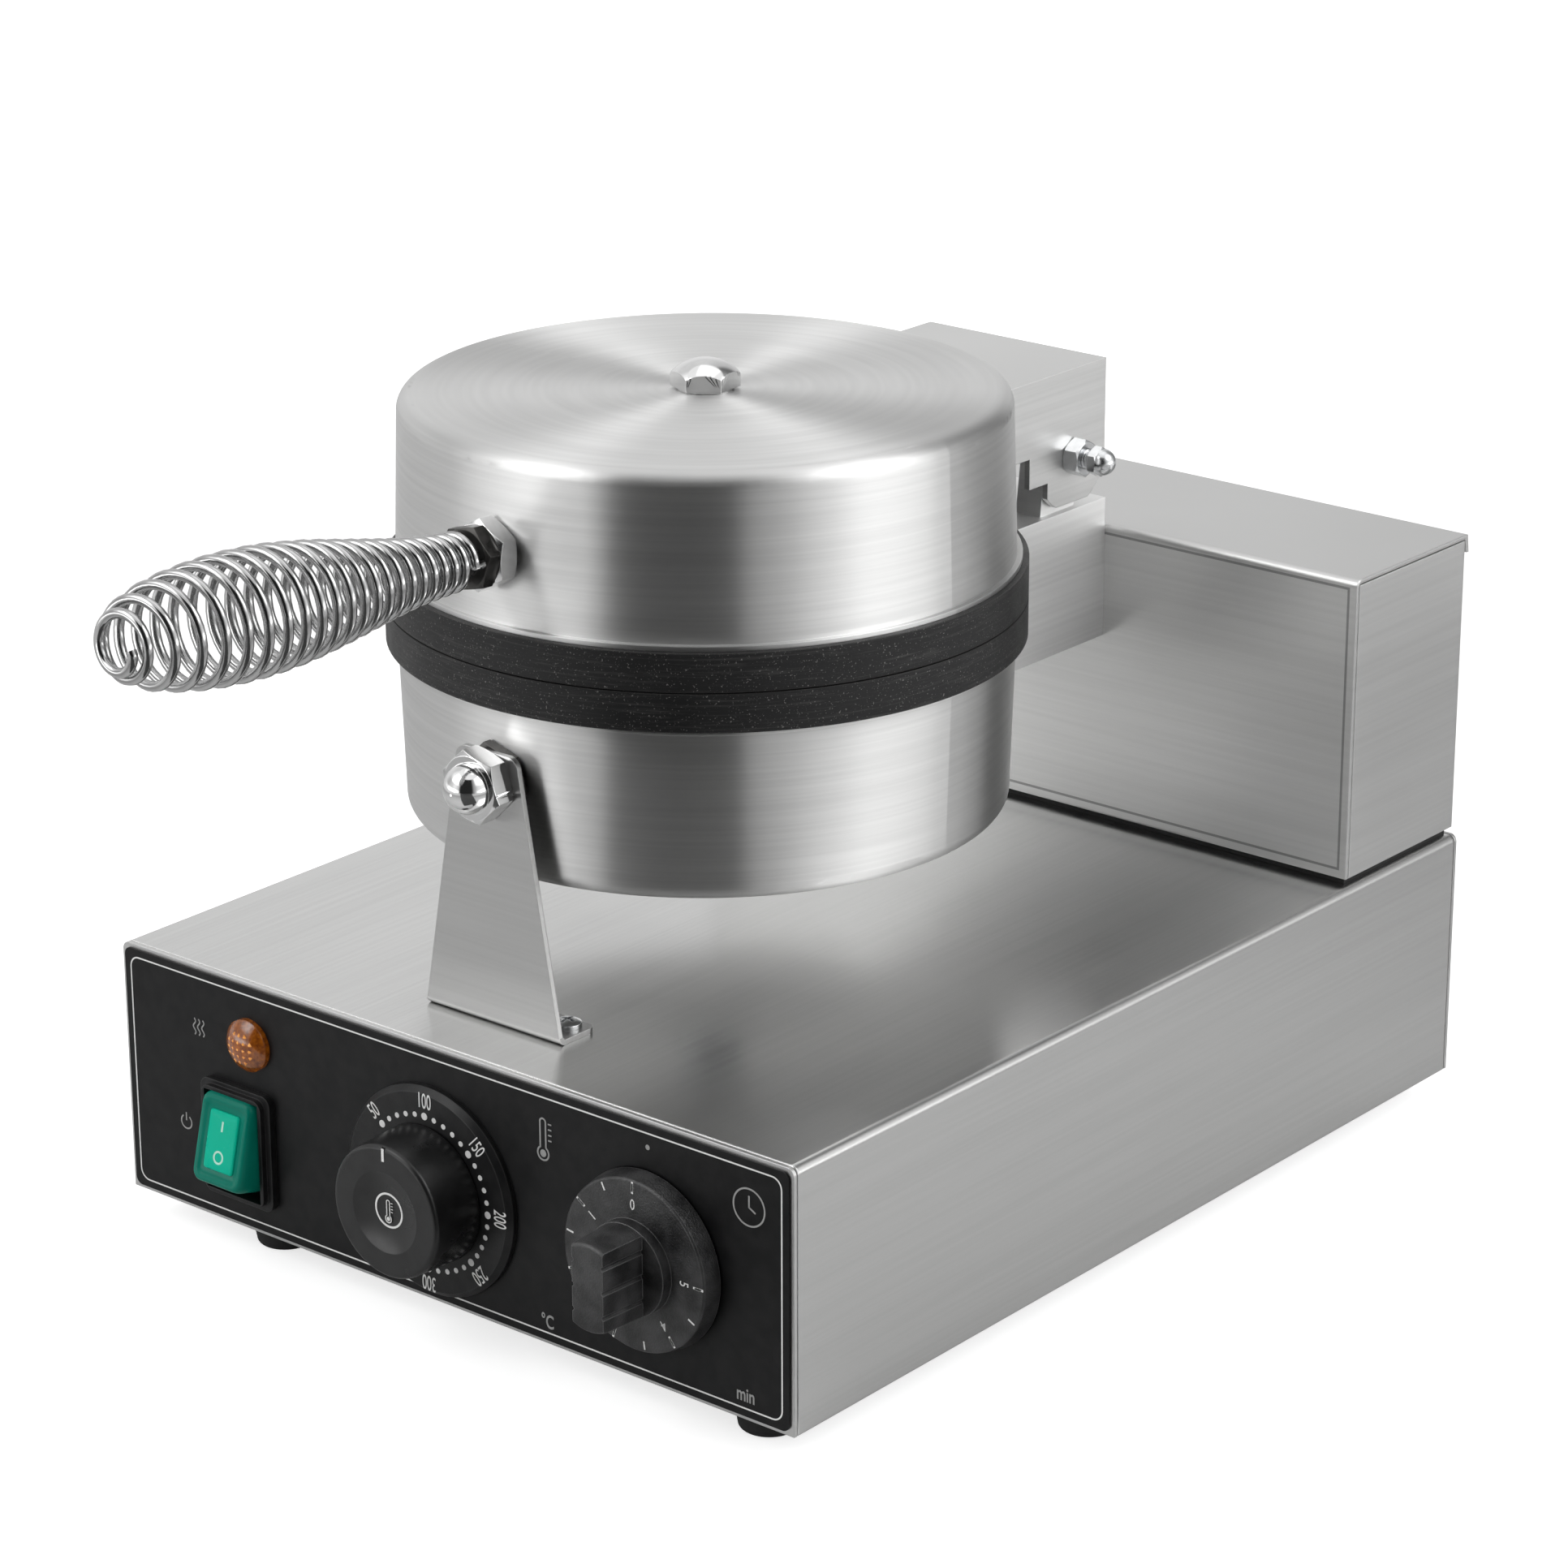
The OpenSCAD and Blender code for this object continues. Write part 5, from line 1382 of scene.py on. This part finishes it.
@dataclass
class PowerSwitch:
    """The soft cover of the rocker, the bright face behind it and its two marks."""

    finishes: Finishes
    panel: ControlPanel
    width: float = 20.2 * MM
    height: float = 27.0 * MM
    front: float = 8.9 * MM
    corner: float = 3.2 * MM
    least_corner: float = 1.2 * MM
    # Inset of each ring and its depth under the cover's front, in millimetres
    cover_profile: tuple[Flat, ...] = ((0.0, 12.9), (0.0, 3.4), (0.3, 1.9), (1.0, 0.75),
                                       (2.2, 0.1), (3.4, 0.0), (4.6, 0.15), (5.8, 0.55),
                                       (7.0, 0.75))
    face_profile: tuple[Flat, ...] = ((0.0, 0.9), (0.0, 0.55), (0.5, 0.25), (1.4, 0.1),
                                      (4.0, 0.05))
    pivot: float = 3.0 * MM
    tilt: float = 14.0
    face_width: float = 11.6 * MM
    face_height: float = 17.4 * MM
    face_corner: float = 1.0 * MM
    marks_depth: float = 0.1 * MM

    def build(self) -> None:
        """Build the cover, the face and the marks."""
        centre = middle("power_switch_body")
        turned = (Matrix.Translation((0.0, 0.0, -self.pivot))
                  @ Matrix.Rotation(-math.radians(self.tilt), 4, "X")
                  @ Matrix.Translation((0.0, 0.0, self.pivot)))
        place = self.panel.place(centre.x, centre.z) @ turned
        rings = [(self.width - inset * MM, self.height - inset * MM,
                  max(self.least_corner, self.corner - inset * MM / 4),
                  self.front - depth * MM) for inset, depth in self.cover_profile]
        hand_over(loft("rocker_cover", rings, place), Body.SWITCH,
                  self.finishes.slots["green_boot"], ("rocker_boot",))
        rings = [(self.face_width - inset * MM, self.face_height - inset * MM,
                  self.face_corner, self.front - depth * MM)
                 for inset, depth in self.face_profile]
        hand_over(loft("rocker_face", rings, place), Body.SWITCH,
                  self.finishes.slots["green_rocker"], ("power_rocker",))
        marks = FlatArt(0.1 * MM)
        marks.ribbon([(0.0, 3.0 * MM), (0.0, 6.0 * MM)], 0.7 * MM)
        marks.arc((0.0, -4.6 * MM), 1.7 * MM, 0.6 * MM)
        lift = Matrix.Translation((0.0, 0.0, self.front - self.marks_depth))
        hand_over(marks.piece("rocker_marks", place @ lift), Body.SWITCH,
                  self.finishes.pale_ink)


@dataclass
class HeatLamp:
    """The prisms moulded in the amber lens."""

    finishes: Finishes
    rows: int = 5
    pitch: float = 1.9 * MM
    prism_radius: float = 0.95 * MM
    prism_height: float = 0.5 * MM
    spread: float = 5.2 * MM
    sunk: float = 0.55
    dome: float = 3.6 * MM

    def tree(self) -> bpy.types.NodeTree:
        """Build the tree that sets small pyramids over a dome.

        Returns:
            The geometry tree.
        """
        inputs = (("Rows", INTEGER, 5), ("Width", FLOAT, 0.01), ("Ball Radius", FLOAT, 0.01),
                  ("Spread", FLOAT, 0.005), ("Prism Radius", FLOAT, MM),
                  ("Prism Height", FLOAT, MM), ("Finish", FINISH, None))
        graph, start, end = open_group("lens_prisms", "GeometryNodeTree", inputs,
                                       (("Geometry", GEOMETRY),))
        given = start.outputs
        grid = graph.fill(graph.node("GeometryNodeMeshGrid"),
                          {"Size X": given["Width"], "Size Y": given["Width"],
                           "Vertices X": given["Rows"], "Vertices Y": given["Rows"]})
        x, y, _ = graph.split(graph.node("GeometryNodeInputPosition").outputs[0])
        square = graph.math("ADD", graph.math("MULTIPLY", x, x), graph.math("MULTIPLY", y, y))
        ball = given["Ball Radius"]
        level = graph.math("SQRT", graph.math("SUBTRACT", graph.math("MULTIPLY", ball, ball),
                                              square))
        raised = graph.fill(graph.node("GeometryNodeSetPosition"),
                            {"Geometry": grid.outputs["Mesh"],
                             "Position": graph.join(x, y, graph.math("SUBTRACT", level, ball))})
        outside = graph.math("GREATER_THAN", graph.math("SQRT", square), given["Spread"])
        kept = graph.fill(graph.node("GeometryNodeDeleteGeometry", domain="POINT"),
                          {"Geometry": raised.outputs[0], "Selection": outside})
        prism = graph.fill(graph.node("GeometryNodeMeshCone"),
                           {"Vertices": 4, "Radius Top": 0.0,
                            "Radius Bottom": given["Prism Radius"],
                            "Depth": given["Prism Height"]})
        placed = graph.fill(graph.node("GeometryNodeInstanceOnPoints"),
                            {"Points": kept.outputs[0], "Instance": prism.outputs["Mesh"]})
        close_tree(graph, end, placed.outputs[0], given["Finish"], False)
        return graph.tree

    def build(self) -> None:
        """Set the prisms into the lens."""
        low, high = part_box("lamp_lens")
        radius = (high.x - low.x) / 2
        ball = (radius * radius + self.dome * self.dome) / (2 * self.dome)
        centre = middle("lamp_lens")
        place = (Matrix.Translation((centre.x, low.y, centre.z))
                 @ Matrix.Rotation(math.pi / 2, 4, "X")
                 @ Matrix.Translation((0.0, 0.0, -self.prism_height * self.sunk)))
        values = {"Rows": self.rows, "Width": (self.rows - 1) * self.pitch, "Ball Radius": ball,
                  "Spread": self.spread, "Prism Radius": self.prism_radius,
                  "Prism Height": self.prism_height, "Finish": self.finishes.prism}
        hand_over(grow("lens_prisms", self.tree(), values, place), Body.BASE)


@dataclass
class SpringGrip:
    """The tapered spring grip, one unbroken wire."""

    finishes: Finishes
    turns: int = 22
    rings: int = 36
    sides: int = 10
    wire: float = 2.78 * MM
    length: float = 124.3 * MM
    start_radius: float = 6.8 * MM
    wide_radius: float = 15.7 * MM
    end_radius: float = 5.1 * MM
    wide_share: float = 0.66
    pitch_spread: float = 0.34
    stretch: float = 1.053
    end_pitch: float = 0.44
    lead: float = 0.1 * MM
    tilt: float = 3.5
    seat: float = 12.2 * MM
    face_y: float = -83.735 * MM
    axis_z: float = 221.0 * MM

    def tree(self) -> bpy.types.NodeTree:
        """Build the tree that winds the wire by its own rule.

        Returns:
            The geometry tree.
        """
        inputs = (("Turns", INTEGER, 22), ("Rings", INTEGER, 36), ("Sides", INTEGER, 10),
                  ("Wire", FLOAT, 0.003), ("Length", FLOAT, 0.1), ("Start Radius", FLOAT, 0.007),
                  ("Wide Radius", FLOAT, 0.015), ("End Radius", FLOAT, 0.005),
                  ("Wide Share", FLOAT, 0.66), ("Pitch Spread", FLOAT, 0.34),
                  ("Stretch", FLOAT, 1.0), ("End Pitch", FLOAT, 1.0), ("Lead", FLOAT, 0.0001),
                  ("Finish", FINISH, None))
        graph, start, end = open_group("tapered_spring", "GeometryNodeTree", inputs,
                                       (("Geometry", GEOMETRY),))
        given = start.outputs
        do = graph.math
        # How much of the wire is wound, from 0 at the nut to 1 at its end
        total = do("MULTIPLY", given["Turns"], given["Rings"])
        step = do("SUBTRACT", graph.node("GeometryNodeInputIndex").outputs[0], 1.0)
        ring = do("MAXIMUM", step, 0.0)
        share = do("DIVIDE", ring, total)
        # The coils open along the grip and close again at its end
        spread = given["Pitch Spread"]
        linear = do("MULTIPLY", do("SUBTRACT", 1.0, spread), share)
        eased = do("MULTIPLY_ADD", do("MULTIPLY", share, share), spread, linear)
        closed = do("SUBTRACT", 1.0,
                    do("MULTIPLY", do("SUBTRACT", 1.0, share), given["End Pitch"]))
        eased = do("MINIMUM", do("MULTIPLY", eased, given["Stretch"]), closed)
        along = do("MULTIPLY_ADD", do("SUBTRACT", given["Length"], given["Wire"]), eased,
                   given["Wire"])
        # The radius swells in a wave to its widest place and then closes like a dome
        reach = do("DIVIDE", along, given["Length"])
        wave = do("COSINE", do("MULTIPLY", do("DIVIDE", reach, given["Wide Share"]), math.pi))
        swell = do("MULTIPLY", do("SUBTRACT", 1.0, wave), 0.5)
        growth = do("SUBTRACT", given["Wide Radius"], given["Start Radius"])
        rising = do("MULTIPLY_ADD", growth, swell, given["Start Radius"])
        past = do("DIVIDE", do("SUBTRACT", reach, given["Wide Share"]),
                  do("SUBTRACT", 1.0, given["Wide Share"]))
        dome = do("SQRT", do("MAXIMUM", do("SUBTRACT", 1.0, do("MULTIPLY", past, past)), 0.0))
        closing = do("MULTIPLY_ADD", do("SUBTRACT", given["Wide Radius"], given["End Radius"]),
                     dome, given["End Radius"])
        narrow = graph.fill(graph.node("GeometryNodeSwitch", input_type="FLOAT"),
                            {"Switch": do("LESS_THAN", reach, given["Wide Share"]),
                             "False": closing, "True": rising}).outputs[0]
        # The first point lies further back, where the wire starts at the nut
        level = graph.fill(graph.node("GeometryNodeSwitch", input_type="FLOAT"),
                           {"Switch": do("LESS_THAN", step, 0.0), "False": along,
                            "True": given["Lead"]}).outputs[0]
        angle = do("DIVIDE", do("MULTIPLY", ring, 2 * math.pi), given["Rings"])
        spot = graph.join(do("MULTIPLY", narrow, do("COSINE", angle)),
                          do("MULTIPLY", narrow, do("SINE", angle)), level)
        line = graph.node("GeometryNodeCurvePrimitiveLine")
        points = graph.fill(graph.node("GeometryNodeResampleCurve"),
                            {"Curve": line.outputs[0], "Count": do("ADD", total, 2.0)})
        wound = graph.fill(graph.node("GeometryNodeSetPosition"),
                           {"Geometry": points.outputs[0], "Position": spot})
        profile = graph.fill(graph.node("GeometryNodeCurvePrimitiveCircle"),
                             {"Resolution": given["Sides"],
                              "Radius": do("MULTIPLY", given["Wire"], 0.5)})
        tube = graph.fill(graph.node("GeometryNodeCurveToMesh"),
                          {"Curve": wound.outputs[0], "Profile Curve": profile.outputs[0],
                           "Fill Caps": True})
        close_tree(graph, end, tube.outputs[0], given["Finish"], True)
        return graph.tree

    def build(self) -> None:
        """Wind the grip and set it on the lock nut."""
        values = {"Turns": self.turns, "Rings": self.rings, "Sides": self.sides,
                  "Wire": self.wire, "Length": self.length, "Start Radius": self.start_radius,
                  "Wide Radius": self.wide_radius, "End Radius": self.end_radius,
                  "Wide Share": self.wide_share, "Pitch Spread": self.pitch_spread,
                  "Stretch": self.stretch, "End Pitch": self.end_pitch, "Lead": self.lead,
                  "Finish": self.finishes.wire_steel}
        place = (Matrix.Translation((0.0, self.face_y, self.axis_z))
                 @ Matrix.Rotation(math.radians(90 - self.tilt), 4, "X")
                 @ Matrix.Translation((0.0, 0.0, self.seat)))
        hand_over(grow("grip_spring", self.tree(), values, place), Body.LID,
                  None, ("handle_spring",))


@dataclass
class Threads:
    """Screw threads where a bare end shows between its nuts."""

    finishes: Finishes
    pitch: float = 0.8 * MM
    ridge: float = 0.22 * MM
    hidden: float = 3.1 * MM

    def tree(self) -> bpy.types.NodeTree:
        """Build the tree that winds one ridge.

        Returns:
            The geometry tree.
        """
        inputs = (("Rotations", FLOAT, 4.0), ("Radius", FLOAT, 0.003), ("Length", FLOAT, 0.003),
                  ("Ridge", FLOAT, 0.0002), ("Finish", FINISH, None))
        graph, start, end = open_group("screw_thread", "GeometryNodeTree", inputs,
                                       (("Geometry", GEOMETRY),))
        given = start.outputs
        path = graph.fill(graph.node("GeometryNodeCurveSpiral"),
                          {"Resolution": 24, "Rotations": given["Rotations"],
                           "Start Radius": given["Radius"], "End Radius": given["Radius"],
                           "Height": given["Length"]})
        profile = graph.fill(graph.node("GeometryNodeCurvePrimitiveCircle"),
                             {"Resolution": 4, "Radius": given["Ridge"]})
        ridge = graph.fill(graph.node("GeometryNodeCurveToMesh"),
                           {"Curve": path.outputs[0], "Profile Curve": profile.outputs[0],
                            "Fill Caps": True})
        close_tree(graph, end, ridge.outputs[0], given["Finish"], False)
        return graph.tree

    def build(self) -> None:
        """Wind the threads at both ends of the hinge pin."""
        tree = self.tree()
        low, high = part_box("hinge_pin")
        nuts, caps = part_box("hinge_nuts")[1].x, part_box("hinge_cap_nuts")[1].x
        axis = middle("hinge_pin")
        length = min(high.x, caps) - nuts - self.hidden
        values = {"Rotations": length / self.pitch, "Radius": (high.z - low.z) / 2,
                  "Length": length, "Ridge": self.ridge, "Finish": self.finishes.zinc}
        for side, name in ((1, "right_pin_thread"), (-1, "left_pin_thread")):
            place = (Matrix.Translation((side * (nuts + self.ridge), axis.y, axis.z))
                     @ Matrix.Rotation(side * math.pi / 2, 4, "Y"))
            hand_over(grow(name, tree, values, place), Body.LID)


@dataclass
class TurnedFasteners:
    """The bolt and nuts in plain view, turned to stand as they were tightened."""

    finishes: Finishes
    lid_bolt_turn: float = -23.0
    nut_turn: float = 15.0
    weld: float = 0.001 * MM

    def build(self) -> None:
        """Turn a copy of each."""
        chrome, dark = self.finishes.chrome, self.finishes.slots["dark_nut_steel"]
        self.turn("lid_bolt", "Z", self.lid_bolt_turn, Body.LID, "polished_steel", chrome)
        self.turn("bracket_dome_nut", "Y", self.nut_turn, Body.BASE, "polished_steel", chrome)
        self.turn("bracket_lock_nut", "Y", self.nut_turn, Body.BASE, "dark_nut_steel", dark)

    def turn(self, node: str, axis: str, degrees: float, body: Body, slot: str,
             finish: bpy.types.Material) -> None:
        """Put a turned copy in the place of a fastener.

        Args:
            node: the fastener.
            axis: its own axis.
            degrees: how far it is turned.
            body: the body that carries it.
            slot: its slot; not used.
            finish: its material.
        """
        centre = Matrix.Translation(middle(node))
        mesh = bpy.data.meshes.new_from_object(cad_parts[node])
        shape = bmesh.new()
        shape.from_mesh(mesh)
        bmesh.ops.remove_doubles(shape, verts=shape.verts, dist=self.weld)
        shape.to_mesh(mesh)
        shape.free()
        mesh.transform(centre @ Matrix.Rotation(math.radians(degrees), 4, axis)
                       @ centre.inverted())
        mesh.name = f"{node}_tightened"
        piece = link(bpy.data.objects.new(f"{node}_tightened", mesh))
        hand_over(piece, body, finish, (node,))


# Studio


@dataclass
class Studio:
    """The pale studio, its soft lamp and the camera at the photograph's angle."""

    azimuth: float = 39.70
    elevation: float = 20.02
    roll: float = -0.15
    distance: float = 1.4541
    slide_right: float = -33.8 * MM
    slide_up: float = -21.5 * MM
    aim: tuple[float, float, float] = (0.0, 200 * MM, 120 * MM)
    lens: float = 111.80
    sensor: float = 36.0
    sight: float = 20.0
    floor_radius: float = 6.0
    floor_drop: float = 0.2 * MM
    # The floor's tone and its own light by the distance from the middle; the tone is painted darker
    # away from the middle, a painted falloff of light, and lighter again far out
    floor_near: Ramp = (0.28, 0.62, 0.66, 0.38)
    floor_far: Ramp = (0.66, 0.86, 0.0, 0.30)
    floor_glow: Ramp = (1.2, 2.0, 0.72, 1.0)
    card_azimuth: float = 29.0
    card_half_width: int = 24
    card_near: float = 0.19
    card_far: float = 2.6
    card_rise: float = 0.5 * MM
    card_tone: Colour = (0.05, 0.05, 0.05)
    screen_radius: float = 2.8
    screen_top: int = 58
    turn_step: int = 4
    rise_step: int = 2
    # Heights, as the sine of the elevation, where the level tones give way to the band's
    band_above: Flat = (0.44, 0.60)
    band_below: Flat = (0.20, 0.10)
    tone_scale: float = 6.0
    fill_level: float = 0.55
    lamp_height: float = 180 * MM
    # Brightness of the screens by degrees from the camera towards the right
    band_tones: tuple[Flat, ...] = ((-180, 0.76), (-134, 0.72), (-104, 1.1), (-84, 3.2),
                                    (-62, 4.4), (-46, 1.8), (-36, 0.02), (14, 0.02),
                                    (26, 0.4), (44, 1.7), (62, 4.3), (86, 4.0), (98, 1.3),
                                    (110, 0.32), (140, 0.16), (156, 0.6), (180, 0.76))
    level_tones: tuple[Flat, ...] = ((-180, 0.86), (-134, 0.80), (-104, 0.5), (-84, 0.7),
                                     (-62, 1.05), (-46, 0.75), (-36, 0.02), (14, 0.02),
                                     (26, 0.4), (44, 0.85), (62, 1.1), (86, 1.1), (98, 0.8),
                                     (110, 0.45), (140, 0.16), (156, 0.6), (180, 0.86))

    def build(self) -> None:
        """Set the camera, the floor, the surroundings and the lamp."""
        self.set_camera()
        self.lay_floor()
        self.lay_dark_card()
        self.stand_screens()
        self.light_surroundings()
        centre = Vector((0.0, pan_centre_y(), self.lamp_height))
        self.hang_lamp("overhead_soft_box", centre, azimuth=200.0, elevation=78.0,
                       distance=1.6, size=(1.0, 1.0), brightness=0.4)
        bpy.context.scene.view_settings.view_transform = "Standard"

    def towards(self, azimuth: float, elevation: float) -> Vector:
        """Find a direction from the object.

        Args:
            azimuth: degrees from the front towards the right.
            elevation: degrees above level.

        Returns:
            The unit vector.
        """
        turn, rise = math.radians(azimuth), math.radians(elevation)
        return Vector((math.sin(turn) * math.cos(rise), -math.cos(turn) * math.cos(rise),
                       math.sin(rise)))

    def set_camera(self) -> None:
        """Place the camera where the photograph was taken."""
        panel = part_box("front_panel")[0].y
        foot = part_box("base_plate")[0].z
        target = Vector((self.aim[0], panel + self.aim[1], foot + self.aim[2]))
        back = self.towards(self.azimuth, self.elevation)
        right = (-back).cross(Vector((0.0, 0.0, 1.0))).normalized()
        up = right.cross(-back)
        lean = math.radians(self.roll)
        level = right * math.cos(lean) + up * math.sin(lean)
        upright = up * math.cos(lean) - right * math.sin(lean)
        spot = target + back * self.distance + level * self.slide_right + upright * self.slide_up
        data = bpy.data.cameras.new("camera")
        data.lens = self.lens
        data.sensor_width = self.sensor
        data.clip_end = self.sight
        camera = link(bpy.data.objects.new("camera", data))
        turn = Matrix((level, upright, back)).transposed()
        camera.matrix_world = Matrix.Translation(spot) @ turn.to_4x4()
        bpy.context.scene.camera = camera

    def lay_floor(self) -> None:
        """Lay the pale floor, which keeps the object's shadow."""
        shape = bmesh.new()
        bmesh.ops.create_circle(shape, cap_ends=True, segments=64, radius=self.floor_radius)
        floor = keep("floor", shape, Matrix.Translation((0.0, 0.0, -self.floor_drop)))
        material = bpy.data.materials.new("pale_floor")
        graph = empty_graph(material)
        output = graph.node("ShaderNodeOutputMaterial")
        path = graph.node("ShaderNodeLightPath")
        place = graph.node("ShaderNodeTexCoord").outputs["Object"]
        reach = graph.vector("LENGTH", place)
        # Painted light: the floor's tone falls off with distance, and rises again far out
        tone = graph.math("ADD", graph.remap(reach, *self.floor_near),
                          graph.remap(reach, *self.floor_far))
        lit = graph.fill(graph.node("ShaderNodeBsdfDiffuse"),
                         {"Color": graph.join(tone, tone, tone)})
        base = graph.fill(graph.node("ShaderNodeEmission"),
                          {"Color": WHITE, "Strength": graph.remap(reach, *self.floor_glow)})
        white = graph.node("ShaderNodeAddShader")
        graph.feed(white.inputs[0], lit.outputs[0])
        graph.feed(white.inputs[1], base.outputs[0])
        mix = graph.node("ShaderNodeMixShader")
        graph.feed(mix.inputs[0], path.outputs["Is Camera Ray"])
        graph.feed(mix.inputs[1], lit.outputs[0])
        graph.feed(mix.inputs[2], white.outputs[0])
        graph.feed(output.inputs["Surface"], mix.outputs[0])
        floor.data.materials.append(material)

    def lay_dark_card(self) -> None:
        """Lay a dark card in front of the object, seen only in its bright metal."""
        shape = bmesh.new()
        points = []
        edge, step = self.card_half_width, self.turn_step
        near, far = range(-edge, edge + 1, step), range(edge, -edge - 1, -step)
        for radius, angles in ((self.card_near, near), (self.card_far, far)):
            for angle in angles:
                spot = self.towards(self.card_azimuth + angle, 0.0) * radius
                points.append(shape.verts.new((spot.x, spot.y, self.card_rise)))
        shape.faces.new(points)
        bmesh.ops.recalc_face_normals(shape, faces=shape.faces)
        card = keep("dark_card", shape, Matrix())
        card.visible_camera = False
        card.visible_diffuse = False
        card.visible_shadow = False
        matt = Surface("dark_card").finish({"Base Color": self.card_tone, "Roughness": 0.8})
        card.data.materials.append(matt)

    def stand_screens(self) -> None:
        """Stand grey, dark and bright screens round the object, open above."""
        shape = bmesh.new()
        rows = []
        for rise in range(0, self.screen_top + 1, self.rise_step):
            rows.append([shape.verts.new(self.towards(self.azimuth + turn, rise)
                                         * self.screen_radius)
                         for turn in range(-180, 181, self.turn_step)])
        for lower, upper in zip(rows, rows[1:]):
            for index in range(len(lower) - 1):
                shape.faces.new((lower[index + 1], lower[index], upper[index], upper[index + 1]))
        screens = keep("screens", shape, Matrix())
        screens.visible_camera = False
        material = bpy.data.materials.new("graded_screens")
        graph = empty_graph(material)
        output = graph.node("ShaderNodeOutputMaterial")
        place = graph.node("ShaderNodeTexCoord").outputs["Object"]
        x, y, z = graph.split(graph.vector("NORMALIZE", place))
        turn = graph.math("ARCTAN2", x, graph.math("MULTIPLY", y, -1.0))
        turn = graph.math("WRAP", graph.math("SUBTRACT", turn, math.radians(self.azimuth)),
                          math.pi, -math.pi)
        high = graph.math("MAXIMUM", graph.remap(z, *self.band_above),
                          graph.remap(z, *self.band_below))
        band = graph.math("MULTIPLY", self.read_tone(graph, turn, self.band_tones), high)
        low = graph.math("SUBTRACT", 1.0, high)
        tone = graph.math("MULTIPLY_ADD", self.read_tone(graph, turn, self.level_tones), low,
                          band)
        glow = graph.fill(graph.node("ShaderNodeEmission"), {"Color": WHITE, "Strength": tone})
        graph.feed(output.inputs["Surface"], glow.outputs[0])
        screens.data.materials.append(material)

    def light_surroundings(self) -> None:
        """Fill the surroundings, white to the camera and in metal and glass."""
        world = bpy.data.worlds.new("pale_studio")
        bpy.context.scene.world = world
        graph = empty_graph(world)
        output = graph.node("ShaderNodeOutputWorld")
        path = graph.node("ShaderNodeLightPath").outputs
        shown = graph.math("MAXIMUM", path["Is Camera Ray"], path["Is Glossy Ray"])
        shown = graph.math("MAXIMUM", shown, path["Is Transmission Ray"])
        strength = graph.remap(shown, 0.0, 1.0, self.fill_level, 1.0)
        studio = graph.fill(graph.node("ShaderNodeBackground"),
                            {"Color": WHITE, "Strength": strength})
        graph.feed(output.inputs["Surface"], studio.outputs[0])

    def read_tone(self, graph: Graph, turn: object, stops: Sequence[Flat]) -> bpy.types.NodeSocket:
        """Read how bright the screens are in a direction round the object.

        Args:
            graph: the tree.
            turn: the direction in radians, 0 at the camera and from there to the right.
            stops: degrees and brightness, from the lowest to the highest.

        Returns:
            The brightness.
        """
        ramp = graph.node("ShaderNodeValToRGB")
        graph.feed(ramp.inputs[0], graph.math("MULTIPLY_ADD", turn, 0.5 / math.pi, 0.5))
        ramp.color_ramp.interpolation = "EASE"
        marks = ramp.color_ramp.elements
        marks.remove(marks[1])
        for index, (angle, value) in enumerate(stops):
            place = angle / 360 + 0.5
            mark = marks.new(place) if index else marks[0]
            mark.position = place
            mark.color = (*(value / self.tone_scale,) * 3, 1.0)
        return graph.math("MULTIPLY", graph.split(ramp.outputs[0])[0], self.tone_scale)

    def hang_lamp(self, name: str, centre: Vector, azimuth: float, elevation: float,
                  distance: float, size: tuple[float, float], brightness: float) -> None:
        """Hang one soft box that faces the object.

        Args:
            name: the lamp's name.
            centre: what it faces.
            azimuth: degrees from the front towards the right.
            elevation: degrees above level.
            distance: how far away it hangs.
            size: its width and height.
            brightness: how bright its face is, where a lit white sheet is 1.
        """
        way = self.towards(azimuth, elevation)
        data = bpy.data.lights.new(name, "AREA")
        data.shape = "RECTANGLE"
        data.size, data.size_y = size
        data.energy = brightness * math.pi * size[0] * size[1]
        lamp = link(bpy.data.objects.new(name, data))
        turn = way.to_track_quat("Z", "Y").to_matrix().to_4x4()
        lamp.matrix_world = Matrix.Translation(centre + way * distance) @ turn
        lamp.visible_camera = False


def main() -> None:
    """Build the studio, dress the frame and add every piece."""
    logging.basicConfig(level=logging.INFO, format="%(name)s: %(message)s")
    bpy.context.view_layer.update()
    Studio().build()
    finishes = Finishes()
    finishes.dress_frame()
    panel = ControlPanel(finishes)
    parts = (panel, TemperatureControl(finishes, panel), TimerControl(finishes, panel),
             PowerSwitch(finishes, panel), HeatLamp(finishes), SpringGrip(finishes),
             Threads(finishes), TurnedFasteners(finishes))
    for part in parts:
        part.build()
        log.info("built %s", type(part).__name__)


if __name__ == "__main__":
    main()
